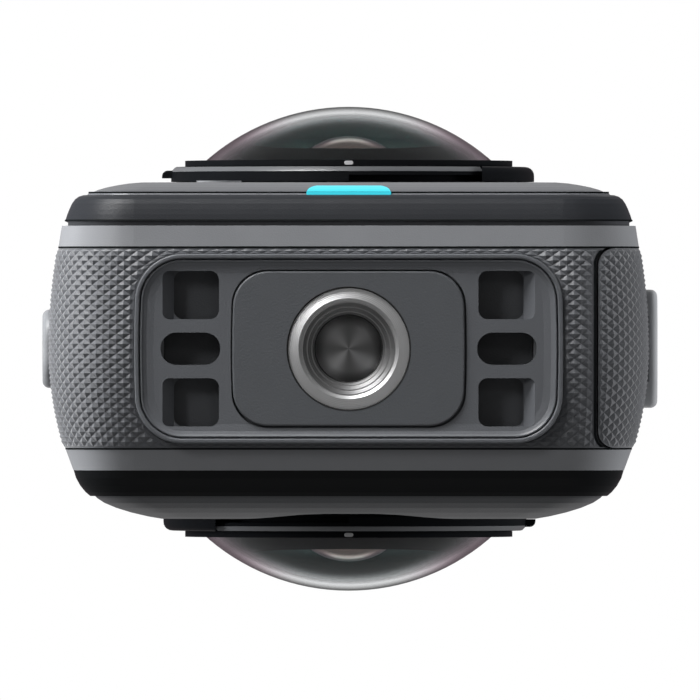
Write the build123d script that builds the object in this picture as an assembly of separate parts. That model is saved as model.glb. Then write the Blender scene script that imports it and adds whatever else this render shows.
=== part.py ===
"""A pocket 360 degree camera: an upright bar with two back to back fisheye lenses.

It stands on its base. X points to the right of the screen, the screen faces -Y and Z is up.
The origin is the middle of the base, on the lowest plane of the base rim. Lengths are in mm.
"""
import os

from build123d import *

# Body outline, seen along Y
BODY_WIDTH = 45.6
BODY_HEIGHT = 124.4
BASE_PROUD = 0.1
BASE_CORNER = 6.6
TOP_CORNER = 13.0
LEAST_CORNER = 3.0

# Depth of each layer, from the middle plane towards the screen and towards the back
WRAP_FRONT = 7.6
WRAP_REAR = 7.5
WRAP_GAP = 0.1
CHASSIS_FRONT = 9.3
CHASSIS_REAR = 9.2
GASKET_THICKNESS = 0.35
FRAME_DEPTH = 2.0
PLATE_THICKNESS = 0.95
SHELL_DEPTH = 1.95
PANEL_THICKNESS = 1.75

# How far each layer lies inside the outline
WRAP_FRONT_INSET = 0.65
WRAP_REAR_INSET = 1.13
WRAP_FLOOR = 1.9
COVER_LIFT = 0.05
WRAP_CROWN_SHARE = 0.25
KNURL_ROOM = 0.2
BAND_FRONT_INSETS = (0.83, 1.08)
BAND_REAR_INSETS = (1.37, 1.96)
CHASSIS_INNER = 3.3
GASKET_INSETS = (1.55, 3.1)
FRAME_INSET = 1.33
FRAME_ROUND = 1.77
FRAME_INNER = 5.2
FRAME_SHARES = ((0.0, 0.0), (0.25, 0.09), (0.45, 0.18), (0.66, 0.29), (0.825, 0.42), (0.93, 0.58),
                (0.985, 0.78), (1.0, 1.0))
PLATE_INSET = 3.15
PLATE_BEVEL = 3.85
PLATE_SHARES = ((0.0, 0.0), (0.2, 0.07), (0.4, 0.18), (0.6, 0.35), (0.78, 0.56), (0.92, 0.78), (1.0, 1.0))
SHELL_INSET = 1.98
SHELL_ROUND = 1.25
SHELL_INNER = 5.4
SHELL_SHARES = ((0.0, 0.0), (0.3, 0.14), (0.6, 0.4), (0.85, 0.72), (1.0, 1.0))
PANEL_INSET = 3.6
PANEL_BEVEL = 5.0
PANEL_DIP = 0.4
PANEL_DIP_FLOOR = 3.6
PANEL_DIP_WIDTH = 16.6
PANEL_SHARES = ((0.0, 0.0), (0.09, 0.03), (0.3, 0.14), (0.52, 0.32), (0.72, 0.54), (0.9, 0.8), (1.0, 1.0))

# One running clearance for each kind of fit, and one overrun for all cuts
OVERRUN = 1.0
SEAM = 0.15
SLIP = 0.1
FIT = 0.05

# Screws that hold the front frame and the rear shell to the chassis
SCREW_SIDE_INSET = 5.1
SCREW_FOOT = 10.1
SCREW_HEAD_DROP = 37.0
SCREW_TOP_INSET = 10.8
SCREW_TOP_DROP = 5.4
BOSS_RADIUS = 1.9
BOSS_REACH = 2.1
BOSS_LENGTH = 6.0
LUG_THICKNESS = 1.35
REAR_LUG_THICKNESS = 1.15
SCREW_RADIUS = 0.7
SCREW_HEAD_RADIUS = 1.4
SCREW_HEAD_HEIGHT = 0.7
SCREW_LENGTH = 4.0
SOCKET_SHARE = 0.5

# Screen in the front plate
GLASS_INSET = 5.8
GLASS_FOOT = 21.9
GLASS_DROP = 40.5
GLASS_CORNER = 3.5
DISPLAY_EDGE = 0.5
DISPLAY_FOOT_EDGE = 2.0
DISPLAY_THICKNESS = 1.9

# Front buttons under the screen
FRONT_BUTTON_X = 9.85
FRONT_BUTTON_FOOT = 12.9
RECORD_RADIUS = 3.2
LENS_BUTTON_RADIUS = 2.7
FRONT_BUTTON_PROUD = 0.02
BUTTON_ROUNDING = 0.15
RECORD_DOT_RADIUS = 1.7
RECORD_DOT_PROUD = 0.16
FRONT_BUTTON_TRAVEL = 0.3
BUTTON_FLANGE = 0.5
BUTTON_FLANGE_THICKNESS = 0.5
FRONT_STEM_RADIUS = 1.2
SWITCH_CLEARANCE = 0.1
SWITCH_BOARD_WIDTH = 26.0
SWITCH_BOARD_FOOT = 3.9
SWITCH_BOARD_HEIGHT = 14.0
BOARD_THICKNESS = 0.8
SWITCH_SIZE = 3.0
SWITCH_HEIGHT = 0.45

# Light bar at the lower edge of the front plate
LIGHT_WIDTH = 6.4
LIGHT_TOP_WIDTH = 4.9
LIGHT_HEIGHT = 1.95

# Small round inserts in the front plate and the rear panel
MIC_X = 11.0
MIC_DROP = 16.5
MIC_RADIUS = 1.2
MIC_PROUD = 0.05
MIC_BODY = 2.4
MIC_DEPTH = 0.8
MIC_HOLE_RADIUS = 0.22
MIC_HOLE_CIRCLE = 0.7
MIC_HOLES = 6

# Base panel
RIM_INSET = 6.6
RIM_DEPTH = 14.3
RIM_WALL = 0.36
RIM_CORNER = 3.6
RIM_BULGE = 0.25
RIM_ROUNDING = 0.12
RIM_GAP = 0.08
PLATE_SINK = 0.12
PLATE_ROUNDING = 0.08
DISH_EDGE = 0.12
DISH_WIDTH = 0.9
DISH_DEPTH = 0.28
DISH_SHARES = ((0.0, 0.0), (0.15, 0.4), (0.4, 0.75), (1.0, 1.0))
CORE_INSET = 2.3
CORE_DEPTH = 12.4
CORE_TOP = 5.2
CORE_CORNER = 1.5
PAD_SHARE = 0.543
PAD_DEPTH = 11.7
PAD_CORNER = 2.7
PAD_BULGE = 0.2
PAD_THICKNESS = 0.9
PAD_ROUNDING = 0.15
PAD_GAP = 0.12
PAD_SINK = 0.2
POCKET_SHIFT = 1.0
POCKET_Y = 4.05
POCKET_WIDTH = 3.42
POCKET_DEPTH = 3.65
POCKET_CORNER = 0.7
POCKET_TOP = 2.6
RAMP_WIDTH = 0.85
RAMP_DROP = 0.9
RAMP_CORNER = 0.5
SLOT_SHIFT = 0.55
SLOT_LENGTH = 4.5
SLOT_WIDTH = 2.44
SLOT_TOP = 3.4
BASE_SCREW_INSET = 1.25
BASE_SCREW_Y = 3.6
BASE_SCREW_RADIUS = 0.5
BASE_SCREW_HEAD_RADIUS = 0.85
BASE_SCREW_HEAD_HEIGHT = 0.7
BASE_SCREW_TIP = 1.1

# Tripod thread insert, 1/4 inch, 20 turns to the inch
INSERT_FLANGE_RADIUS = 4.6
INSERT_FLANGE_TOP = 1.3
INSERT_RADIUS = 3.9
INSERT_TOP = 8.6
INSERT_MOUTH_RADIUS = 3.8
INSERT_BEVEL = 0.2
MOUTH_SHARES = ((0.0, 0.0), (0.2, 0.22), (0.28, 0.22), (0.5, 0.5), (0.58, 0.5), (0.8, 0.78), (0.86, 0.78), (1.0, 1.0))
THREAD_RADIUS = 2.59
THREAD_START = 1.4
THREAD_TOP = 7.2

# Battery, its bay and its cover
BATTERY_ROOM = 8.1
BATTERY_DEPTH = 11.2
BATTERY_Y = 0.6
BATTERY_FOOT = 17.4
BATTERY_HEADROOM = 12.0
BATTERY_CORNER = 1.2
BATTERY_CLEARANCE = 0.3
BAY_WALL = 0.9
CONTACT_THICKNESS = 0.5
CONTACT_WIDTH = 4.0
CONTACT_LENGTH = 14.0
COVER_FOOT = 14.9
COVER_OVER = 3.0
PLUG_CLEARANCE = 0.2
SEAL_WIDTH = 0.8
SEAL_DEPTH = 0.6

# Battery latch on the cover
LATCH_WIDTH = 6.1
LATCH_LENGTH = 12.0
LATCH_DROP = 19.0
LATCH_PROUD = 1.05
LATCH_TRAVEL = 2.5
LATCH_POCKET = 1.0
LATCH_CORNER = 2.4
LATCH_RIB = 0.25
LATCH_RIBS = 5

# Memory card above the battery
CARD_LENGTH = 15.0
CARD_WIDTH = 11.0
CARD_THICKNESS = 1.0
CARD_FLOOR = 1.65
CARD_PROUD = 0.5
CARD_CLEARANCE = 0.15
CARD_PUSH = 0.6
CARD_WALL = 0.6

# Side buttons
SIDE_BUTTON_WIDTH = 9.14
SIDE_BUTTON_LENGTH = 12.0
SIDE_BUTTON_PROUD = 1.05
SIDE_BUTTON_CORNER = 3.0
SIDE_BUTTON_FLOOR = 0.45
SIDE_BUTTON_TRAVEL = 0.3
QUICK_RISE = 22.0
BUTTON_PITCH = 17.0
SIDE_STEM_RADIUS = 1.5
SIDE_STEM_REACH = 0.3
SIDE_BOARD_EDGE = 8.0
SIDE_BOARD_WIDTH = 8.0
SIDE_SWITCH_HEIGHT = 1.2

# USB socket, its board and its door
USB_FOOT = 23.4
USB_Y = -0.83
USB_WIDTH = 8.94
USB_HEIGHT = 3.26
USB_LENGTH = 7.2
USB_WALL = 0.3
USB_RECESS = 0.6
USB_TONGUE = 0.7
USB_TONGUE_WIDTH = 6.7
USB_OPENING_LENGTH = 12.0
USB_OPENING_DEPTH = 6.8
USB_OPENING_CORNER = 2.2
USB_BOARD_FOOT = 9.5
USB_BOARD_HEAD = 16.5
DOOR_SEAM_INSET = 4.1
DOOR_CORNER = 1.3
HINGE_INSET = 1.1
HINGE_FOOT = 32.9
KNUCKLE_RADIUS = 0.75
HINGE_SWEEP = 1.75
PIN_RADIUS = 0.3
LUG_RADIUS = 0.5
LUG_Y = 4.5
LUG_WIDTH = 1.2
PLUG_REACH = 0.9
PLUG_WALL = 0.9
DOOR_LATCH_WIDTH = 5.0
DOOR_LATCH_LENGTH = 5.4
DOOR_LATCH_BOTTOM = 9.0
DOOR_LATCH_TRAVEL = 1.4
DOOR_LATCH_FLOOR = 1.0
DOOR_LATCH_TOP = 0.02

# Speaker behind the lower left side
SPEAKER_WIDTH = 8.0
SPEAKER_DEPTH = 6.0
SPEAKER_BOTTOM = 7.4
SPEAKER_TOP = 14.8
SOUND_WIDTH = 5.0
SOUND_BOTTOM = 8.6
SOUND_TOP = 12.6
GRILLE_EDGE = 0.5
GRILLE_SLOTS = 4
GRILLE_SLOT_SHARE = 0.45

# Main board and cooling plate
MAIN_BOARD_EDGE = 0.7
MAIN_BOARD_BOTTOM = 20.0
MAIN_BOARD_DROP = 40.5
MAIN_BOARD_GAP = 1.0
STANDOFF_RADIUS = 1.5
STANDOFF_EDGE = 3.0
SHIELD_HEIGHT = 1.1
SHIELD_INSET = 6.8
SHIELD_FOOT_INSET = 14.0
SHIELD_HEAD_INSET = 10.0
SPREADER_EDGE = 1.5
SPREADER_BOTTOM = 18.0
SPREADER_THICKNESS = 0.8

# Lenses. Distances along the lens axis are from the middle plane outwards
LENS_DROP = 21.5
DOME_HEIGHT = 4.55
DOME_RADIUS = 17.1
DOME_THICKNESS = 0.5
DOME_SEAT = 14.6
CELL_TOP = 14.87
CELL_FLANGE_BOTTOM = 14.42
CELL_BOTTOM = 13.3
CELL_RADIUS = 12.95
CELL_NECK = 12.25
CELL_BORE = 10.55
LOCK_TOP = 14.38
LOCK_BOTTOM = 13.2
LOCK_RADIUS = 14.06
LOCK_RIM_RADIUS = 13.66
LOCK_RIM_BOTTOM = 13.98
LOCK_BORE = 12.35
LOCK_BLOCK_RADIUS = 14.67
LOCK_BLOCK_X = 10.5
LOCK_LUG_REACH = 14.77
LOCK_LUG_WIDTH = 3.0
LOCK_LUG_THICKNESS = 0.6
LOCK_SLOT_TOP = 13.7
LOCK_SLOT_DEPTH = 1.0
SEAT_TOP = 13.15
SEAT_RADIUS = 13.9
SEAT_FLANGE_ROOM = 2.2
SEAT_FLANGE = 0.8
BARREL_TOP = 14.1
BARREL_TOP_RADIUS = 10.35
BARREL_SHOULDER_RADIUS = 11.6
BARREL_SHOULDER = 0.9
BARREL_MIDDLE_RADIUS = 9.2
BARREL_MIDDLE_END = 6.5
BARREL_LOW_RADIUS = 7.6
BARREL_BORE = 7.45
BARREL_BORE_FLOOR = 12.2
RELAY_RADIUS = 4.2
RELAY_TOP = 9.0
RELAY_BOTTOM = 5.6
SENSOR_BORE = 5.2
INNER_GAP = 0.7
INNER_RADIUS = 15.4
INNER_EDGE = 0.15
BRACKET_THICKNESS = 4.6
BRACKET_DROP = 12.5
BRACKET_WINDOW = 12.0
SENSOR_BOARD_THICKNESS = 0.9
SENSOR_BOARD_SIZE = 18.0
SENSOR_SIZE = 8.0
SENSOR_THICKNESS = 0.8

half = BODY_WIDTH / 2
bottom = BASE_PROUD
top = BASE_PROUD + BODY_HEIGHT
lens_z = top - LENS_DROP


def block(x, y, z):
    """A box between two X, two Y and two Z values."""
    spans = (x, y, z)
    return Pos(*[sum(span) / 2 for span in spans]) * Box(*[abs(span[1] - span[0]) for span in spans])


def prism(axis, outline, span):
    """A flat outline stood along one axis: drawn in Y, Z across X, in X, Z across Y, and in X, Y across Z."""
    low, high = min(span), max(span)
    plane = {"X": Plane.YZ.offset(low), "Y": Plane.XZ.offset(-high), "Z": Plane.XY.offset(low)}[axis]
    return extrude(plane * outline, high - low)


def rod(axis, radius, span, u=0, v=0):
    """A round bar along one axis, at the place u, v of the other two."""
    return prism(axis, Pos(u, v) * Circle(radius), span)


def ring(axis, outer, inner, span, u=0, v=0):
    """A flat ring or a tube."""
    return prism(axis, Pos(u, v) * (Circle(outer) - Circle(inner)), span)


def rounded(axis, width, height, corner, span, u=0, v=0):
    """A bar with a rounded rectangle as its section."""
    return prism(axis, Pos(u, v) * RectangleRounded(width, height, corner), span)


def grow(span, amount):
    """A span made longer at both ends."""
    return (span[0] - amount, span[1] + amount)


def centred(size, middle=0):
    """The span of a size about its middle."""
    return (middle - size / 2, middle + size / 2)


def outline(inset):
    """The body's outline seen along Y, drawn inwards by an inset."""
    face = Pos(0, (bottom + top) / 2) * Rectangle(BODY_WIDTH - 2 * inset, BODY_HEIGHT - 2 * inset)
    face = fillet(face.vertices().sort_by(Axis.Y)[:2], max(BASE_CORNER - inset, LEAST_CORNER))
    return fillet(face.vertices().sort_by(Axis.Y)[-2:], max(TOP_CORNER - inset, LEAST_CORNER))


def layers(sections):
    """A plate whose edge steps through depth, inset pairs. The depth is measured towards the screen."""
    return loft([Plane.XZ.offset(depth) * outline(inset) for depth, inset in sections], ruled=True)


def edge(shares, depth, rise, inset, draw):
    """Depth and inset pairs of an edge, from a table of shares."""
    return [(depth + rise * high, inset + draw * far) for high, far in shares]


def body_path():
    """The closed path along the outline, from the middle of the base."""
    low, high = BASE_CORNER, TOP_CORNER
    return Plane.XZ * Wire([
        Line((0, bottom), (half - low, bottom)),
        CenterArc((half - low, bottom + low), low, -90, 90),
        Line((half, bottom + low), (half, top - high)),
        CenterArc((half - high, top - high), high, 0, 90),
        Line((half - high, top), (high - half, top)),
        CenterArc((high - half, top - high), high, 90, 90),
        Line((-half, top - high), (-half, bottom + low)),
        CenterArc((low - half, bottom + low), low, 180, 90),
        Line((low - half, bottom), (0, bottom)),
    ])


def hoop(section):
    """A section in Y and inset, carried round the body."""
    return sweep(Plane.YZ * (Pos(0, bottom) * section), path=body_path())


def polygon(*points):
    """A flat face through the points."""
    return make_face(Polyline(*points, close=True))


def wrap(floor):
    """The whole knurled wrap, from its curved outside down to a floor."""
    front, rear, crown = -WRAP_FRONT, WRAP_REAR, KNURL_ROOM
    front_edge, rear_edge = crown + WRAP_FRONT_INSET, crown + WRAP_REAR_INSET
    front_middle = crown + WRAP_FRONT_INSET * WRAP_CROWN_SHARE
    rear_middle = crown + WRAP_REAR_INSET * WRAP_CROWN_SHARE
    return hoop(make_face([
        ThreePointArc((front, front_edge), (front / 2, front_middle), (0, crown)),
        ThreePointArc((0, crown), (rear / 2, rear_middle), (rear, rear_edge)),
        Polyline((rear, rear_edge), (rear, floor), (front, floor), (front, front_edge)),
    ]))


def bulged(width, depth, corner, bulge):
    """A rounded rectangle whose short sides bulge."""
    x, y = width / 2 - bulge, depth / 2
    face = make_face([
        Line((-x, -y), (x, -y)), ThreePointArc((x, -y), (width / 2, 0), (x, y)),
        Line((x, y), (-x, y)), ThreePointArc((-x, y), (-width / 2, 0), (-x, -y)),
    ])
    return fillet(face.vertices(), corner)


def turned(part):
    """The same piece on the other side of the body, turned half round Z."""
    return Rot(0, 0, 180) * part


def four(x, y):
    """Four places about the middle."""
    return [(i * x, j * y) for i in (-1, 1) for j in (-1, 1)]


parts = {}

# Planes that several pieces share, as Y or as a depth towards the screen
floor_x = half - WRAP_FLOOR
inner_x = half - CHASSIS_INNER
frame_back = CHASSIS_FRONT + GASKET_THICKNESS
plate_back = frame_back + FRAME_DEPTH
plate_front = plate_back + PLATE_THICKNESS
panel_back = CHASSIS_REAR + SHELL_DEPTH
panel_rear = panel_back + PANEL_THICKNESS
channel = (-WRAP_FRONT - WRAP_GAP, WRAP_REAR + WRAP_GAP)
wide = (-BODY_WIDTH, BODY_WIDTH)
screw_heights = (bottom + SCREW_FOOT, top - SCREW_HEAD_DROP)
screw_places = [(i * (half - SCREW_SIDE_INSET), z) for i in (-1, 1) for z in screw_heights]
screw_places += [(i * (half - SCREW_TOP_INSET), top - SCREW_TOP_DROP) for i in (-1, 1)]

battery_left = 2 * COVER_LIFT - inner_x
battery_x = (battery_left, inner_x - BATTERY_ROOM)
battery_y = centred(BATTERY_DEPTH, BATTERY_Y)
bracket_bottom = lens_z - BRACKET_DROP
battery_z = (bottom + BATTERY_FOOT, bracket_bottom - BATTERY_HEADROOM)
opening_y = grow(battery_y, BATTERY_CLEARANCE)
opening_z = grow(battery_z, BATTERY_CLEARANCE)
bay_end = battery_x[1] + SLIP + CONTACT_THICKNESS
card_bottom = opening_z[1] + BAY_WALL + CARD_FLOOR + CARD_CLEARANCE
card_y = centred(CARD_WIDTH, BATTERY_Y)
card_z = (card_bottom, card_bottom + CARD_THICKNESS)
cover_z = (bottom + COVER_FOOT, sum(card_z) / 2 + COVER_OVER)
hinge_x = half - HINGE_INSET
hinge_z = bottom + HINGE_FOOT
quick_z = hinge_z + QUICK_RISE
power_z = quick_z + BUTTON_PITCH
side_button_z = {"power_button": power_z, "quick_button": quick_z}
latch_bottom = cover_z[1] - LATCH_DROP
button_z = bottom + FRONT_BUTTON_FOOT
mic_z = lens_z - MIC_DROP
rim_width = BODY_WIDTH - 2 * RIM_INSET
core_width = rim_width - 2 * CORE_INSET
pad_width = rim_width * PAD_SHARE
pocket_x = (rim_width + pad_width) / 4 - POCKET_SHIFT
slot_x = (rim_width + pad_width) / 4 - SLOT_SHIFT
base_screw_x = rim_width / 2 - BASE_SCREW_INSET
main_board_top = top - MAIN_BOARD_DROP
board_back = BATTERY_DEPTH / 2 - BATTERY_Y + BATTERY_CLEARANCE + BAY_WALL + MAIN_BOARD_GAP
usb_y = centred(USB_HEIGHT, USB_Y)
usb_middle = bottom + USB_FOOT
usb_z = centred(USB_WIDTH, usb_middle)
usb_front = floor_x - USB_RECESS


def usb_opening(span, clearance=0):
    """The opening through the chassis in front of the socket, or what fits in it."""
    return rounded("X", USB_OPENING_DEPTH - 2 * clearance, USB_OPENING_LENGTH - 2 * clearance,
                   USB_OPENING_CORNER - clearance, span, USB_Y, usb_middle)


def hinge_rod(radius, span):
    """A bar on the axis of the socket door's hinge."""
    return rod("Y", radius, span, hinge_x, hinge_z)


def hinge_lugs(radius, play):
    """Both ears that carry the hinge pin, or the room that they need in the door."""
    ears = []
    for side in (-1, 1):
        span = grow(centred(LUG_WIDTH, side * LUG_Y), play)
        ear = block((floor_x - play, hinge_x), span, centred(2 * radius, hinge_z))
        ears.append(hinge_rod(radius, span) + ear)
    return ears[0] + ears[1]


def base_outline(inset):
    """The outline of the base rim, drawn inwards by an inset."""
    return bulged(rim_width - 2 * inset, RIM_DEPTH - 2 * inset, RIM_CORNER - inset, RIM_BULGE)


def door_zone(room):
    """Where the socket door takes the place of the wrap, seen from below."""
    seam = half - DOOR_SEAM_INSET + SEAM - room
    zone = Pos((seam + BODY_WIDTH) / 2, 0) * Rectangle(BODY_WIDTH - seam, 2 * BODY_WIDTH)
    y = (-WRAP_FRONT - room, WRAP_REAR + room)
    zone &= Pos((seam + BODY_WIDTH) / 2, sum(y) / 2) * Rectangle(BODY_WIDTH - seam, y[1] - y[0])
    zone = fillet(zone.vertices().sort_by(Axis.X)[:2], DOOR_CORNER)
    return prism("Z", zone, (-OVERRUN, hinge_z))


def side_button_outline(clearance, z):
    """A side button seen along X, or the hole that it works in."""
    return Pos(0, z) * RectangleRounded(SIDE_BUTTON_WIDTH + 2 * clearance, SIDE_BUTTON_LENGTH + 2 * clearance,
                                        SIDE_BUTTON_CORNER + clearance)


def make_chassis():
    """The ring that carries everything, with the two bands that show beside the wrap."""
    body = hoop(polygon(
        (-CHASSIS_FRONT, BAND_FRONT_INSETS[1]), (channel[0], BAND_FRONT_INSETS[0]), (channel[0], WRAP_FLOOR),
        (channel[1], WRAP_FLOOR), (channel[1], BAND_REAR_INSETS[0]), (CHASSIS_REAR, BAND_REAR_INSETS[1]),
        (CHASSIS_REAR, CHASSIS_INNER), (-CHASSIS_FRONT, CHASSIS_INNER)))
    boss_faces = ((-CHASSIS_FRONT, BOSS_LENGTH - CHASSIS_FRONT), (CHASSIS_REAR - BOSS_LENGTH, CHASSIS_REAR))
    for x, z in screw_places:
        for face in boss_faces:
            body += rod("Y", BOSS_REACH, face, x, z)
            body -= rod("Y", SCREW_RADIUS, grow(face, OVERRUN), x, z)
    body += hinge_lugs(LUG_RADIUS, 0)
    body -= hinge_rod(PIN_RADIUS, channel)
    body -= rounded("Z", core_width + 2 * FIT, CORE_DEPTH + 2 * FIT, CORE_CORNER, (0, CORE_TOP))
    for x, y in four(base_screw_x, BASE_SCREW_Y):
        body -= rod("Z", BASE_SCREW_RADIUS + FIT, (0, CORE_TOP), x, y)
    body -= block((-BODY_WIDTH, -floor_x / 2), opening_y, opening_z)
    body -= block((-BODY_WIDTH, -floor_x / 2), grow(card_y, CARD_CLEARANCE), grow(card_z, CARD_CLEARANCE))
    body -= block((-BODY_WIDTH, -floor_x / 2), centred(SOUND_WIDTH), (SOUND_BOTTOM, SOUND_TOP))
    for z in side_button_z.values():
        body -= rod("X", SIDE_STEM_RADIUS + SLIP, (floor_x / 2, BODY_WIDTH), 0, z)
    return body - usb_opening((floor_x / 2, BODY_WIDTH))


def make_wrap_pieces():
    """The fixed wrap: the main arch, and the lower piece round the base panel and the left corner."""
    skin = wrap(WRAP_FLOOR)
    skin -= prism("Z", base_outline(-FIT), (-OVERRUN, CORE_TOP))
    skin -= block((-BODY_WIDTH, -half / 2), wide, grow(cover_z, SEAM))
    skin -= door_zone(SEAM)
    skin -= hinge_rod(HINGE_SWEEP, wide)
    for z in side_button_z.values():
        skin -= prism("X", side_button_outline(SLIP, z), (floor_x / 2, BODY_WIDTH))
    skin -= block((-BODY_WIDTH, -half / 2), centred(SOUND_WIDTH + 2 * GRILLE_EDGE),
                  (SOUND_BOTTOM - GRILLE_EDGE, SOUND_TOP + GRILLE_EDGE))
    low, high = skin.solids().sort_by(Axis.Z)
    return high, low


def make_cover():
    """The battery cover: its stretch of the wrap and the plug that closes the bay."""
    cover = wrap(WRAP_FLOOR - COVER_LIFT) & block((-BODY_WIDTH, -half / 2), wide, cover_z)
    cover += block((-floor_x - COVER_LIFT, battery_left), grow(opening_y, -PLUG_CLEARANCE),
                   grow(opening_z, -PLUG_CLEARANCE))
    slide = (latch_bottom - SLIP, latch_bottom + LATCH_LENGTH + LATCH_TRAVEL + SLIP)
    pocket = (-BODY_WIDTH, LATCH_POCKET - half)
    length = slide[1] - slide[0]
    cover -= rounded("X", LATCH_WIDTH + 2 * SLIP, length, LATCH_CORNER, pocket, 0, sum(slide) / 2)
    groove = (-inner_x - 2 * SEAL_WIDTH, -inner_x - SEAL_WIDTH)
    return cover - seal_ring(groove)


def seal_ring(span):
    """The seal round the battery cover's plug."""
    y, z = grow(opening_y, -FIT), grow(opening_z, -FIT)
    inner_y, inner_z = grow(y, -SEAL_DEPTH), grow(z, -SEAL_DEPTH)
    return block(span, y, z) - block(grow(span, OVERRUN), inner_y, inner_z)


def make_latch():
    """The battery latch, with ribs for the thumb."""
    outer = -half - LATCH_PROUD
    middle = latch_bottom + LATCH_LENGTH / 2
    span = (outer, LATCH_POCKET - half - SLIP / 2)
    latch = rounded("X", LATCH_WIDTH, LATCH_LENGTH, LATCH_CORNER, span, 0, middle)
    latch = fillet(latch.edges().group_by(Axis.X)[0], LATCH_PROUD / 2)
    for step in range(LATCH_RIBS):
        z = middle + (step - (LATCH_RIBS - 1) / 2) * LATCH_LENGTH / (2 * LATCH_RIBS)
        groove = (outer - OVERRUN, outer + LATCH_RIB)
        latch -= block(groove, centred(LATCH_WIDTH / 2), centred(2 * LATCH_RIB, z))
    return latch


def make_door():
    """The socket door: the lower right corner of the wrap, hinged at its upper end."""
    zone = door_zone(0) - hinge_rod(HINGE_SWEEP, wide)
    zone += door_zone(0) & block((hinge_x, BODY_WIDTH), wide, (0, hinge_z))
    zone += door_zone(0) & block((0, BODY_WIDTH), wide, centred(2 * HINGE_SWEEP, hinge_z - HINGE_SWEEP))
    door = wrap(WRAP_FLOOR - COVER_LIFT) & (zone + hinge_rod(KNUCKLE_RADIUS, (-WRAP_FRONT, WRAP_REAR)))
    room = hinge_lugs(HINGE_SWEEP, SLIP)
    door -= room
    door -= hinge_rod(PIN_RADIUS + FIT, wide)
    slide = (DOOR_LATCH_BOTTOM - SLIP, DOOR_LATCH_BOTTOM + DOOR_LATCH_LENGTH + DOOR_LATCH_TRAVEL + SLIP)
    return door - block((half - DOOR_LATCH_FLOOR, BODY_WIDTH), centred(DOOR_LATCH_WIDTH + 2 * SLIP), slide)


def make_side_button(z):
    """A side button: its cap in the wrap and its stem through the chassis."""
    outer = half + SIDE_BUTTON_PROUD
    back = floor_x + SIDE_BUTTON_FLOOR
    cap = prism("X", side_button_outline(0, z), (back, outer))
    cap = fillet(cap.edges().group_by(Axis.X)[-1], SIDE_BUTTON_PROUD / 2)
    return cap + rod("X", SIDE_STEM_RADIUS, (inner_x - SIDE_STEM_REACH, back), 0, z)


def make_base_plate():
    """The metal base panel, with its pockets, slots and the seats of the pad and the insert."""
    wall = RIM_WALL + RIM_GAP
    plate = prism("Z", base_outline(wall), (PLATE_SINK, bottom + WRAP_FLOOR))
    plate = fillet(plate.edges().group_by(Axis.Z)[0], PLATE_ROUNDING)
    dish = [Plane.XY.offset(-OVERRUN) * base_outline(wall + DISH_EDGE)]
    for far, deep in DISH_SHARES:
        level = Plane.XY.offset(PLATE_SINK + deep * DISH_DEPTH)
        dish.append(level * base_outline(wall + DISH_EDGE + far * DISH_WIDTH))
    plate -= loft(dish, ruled=True)
    floor = PLATE_SINK + DISH_DEPTH
    plate += rounded("Z", core_width, CORE_DEPTH, CORE_CORNER, (bottom + WRAP_FLOOR, CORE_TOP))
    plate -= prism("Z", bulged(pad_width + 2 * PAD_GAP, PAD_DEPTH + 2 * PAD_GAP, PAD_CORNER, PAD_BULGE),
                   (-OVERRUN, PAD_SINK + PAD_THICKNESS))
    plate -= rod("Z", INSERT_RADIUS, (0, INSERT_TOP))
    plate -= rod("Z", INSERT_FLANGE_RADIUS, (-OVERRUN, INSERT_FLANGE_TOP))
    for x, y in four(pocket_x, POCKET_Y):
        plate -= rounded("Z", POCKET_WIDTH, POCKET_DEPTH, POCKET_CORNER, (-OVERRUN, POCKET_TOP), x, y)
        side = 1 if x > 0 else -1
        near, far = x + side * POCKET_WIDTH / 4, x + side * (POCKET_WIDTH / 2 + RAMP_WIDTH)
        flank, drop = x + side * POCKET_WIDTH / 2, floor + RAMP_DROP
        wedge = polygon((near, -OVERRUN), (far, -OVERRUN), (far, floor), (flank, drop), (near, drop))
        ramp = rounded("Z", POCKET_WIDTH, POCKET_DEPTH, RAMP_CORNER, (-OVERRUN, drop), x + side * RAMP_WIDTH, y)
        plate -= ramp & prism("Y", wedge, centred(POCKET_DEPTH, y))
    for side in (-1, 1):
        corner = SLOT_WIDTH / 2 - FIT
        plate -= rounded("Z", SLOT_LENGTH, SLOT_WIDTH, corner, (-OVERRUN, SLOT_TOP), side * slot_x)
    for x, y in four(base_screw_x, BASE_SCREW_Y):
        plate -= rod("Z", BASE_SCREW_RADIUS, (BASE_SCREW_TIP, CORE_TOP), x, y)
    return plate


def make_insert():
    """The threaded tripod insert: flange, stepped mouth and a blind hole."""
    mouth = [(INSERT_MOUTH_RADIUS + far * (THREAD_RADIUS - INSERT_MOUTH_RADIUS),
              PAD_SINK + deep * (THREAD_START - PAD_SINK)) for far, deep in MOUTH_SHARES]
    section = polygon(
        *mouth, (THREAD_RADIUS, THREAD_TOP), (0, THREAD_TOP), (0, INSERT_TOP), (INSERT_RADIUS, INSERT_TOP),
        (INSERT_RADIUS, INSERT_FLANGE_TOP), (INSERT_FLANGE_RADIUS, INSERT_FLANGE_TOP),
        (INSERT_FLANGE_RADIUS, PAD_SINK + INSERT_BEVEL))
    return revolve(Plane.XZ * section, Axis.Z)


def make_bay():
    """The battery bay: a box open at its left end, with standoffs for the main board."""
    y, z = grow(opening_y, BAY_WALL), grow(opening_z, BAY_WALL)
    bay = block((-inner_x, bay_end + BAY_WALL), y, z)
    for x in (STANDOFF_EDGE - inner_x, bay_end + BAY_WALL - STANDOFF_EDGE):
        for height in (MAIN_BOARD_BOTTOM + STANDOFF_EDGE, z[1] - STANDOFF_EDGE):
            bay += rod("Y", STANDOFF_RADIUS, (-board_back, y[0] + BAY_WALL), x, height)
    return bay - block((-BODY_WIDTH, bay_end), opening_y, opening_z)


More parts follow.
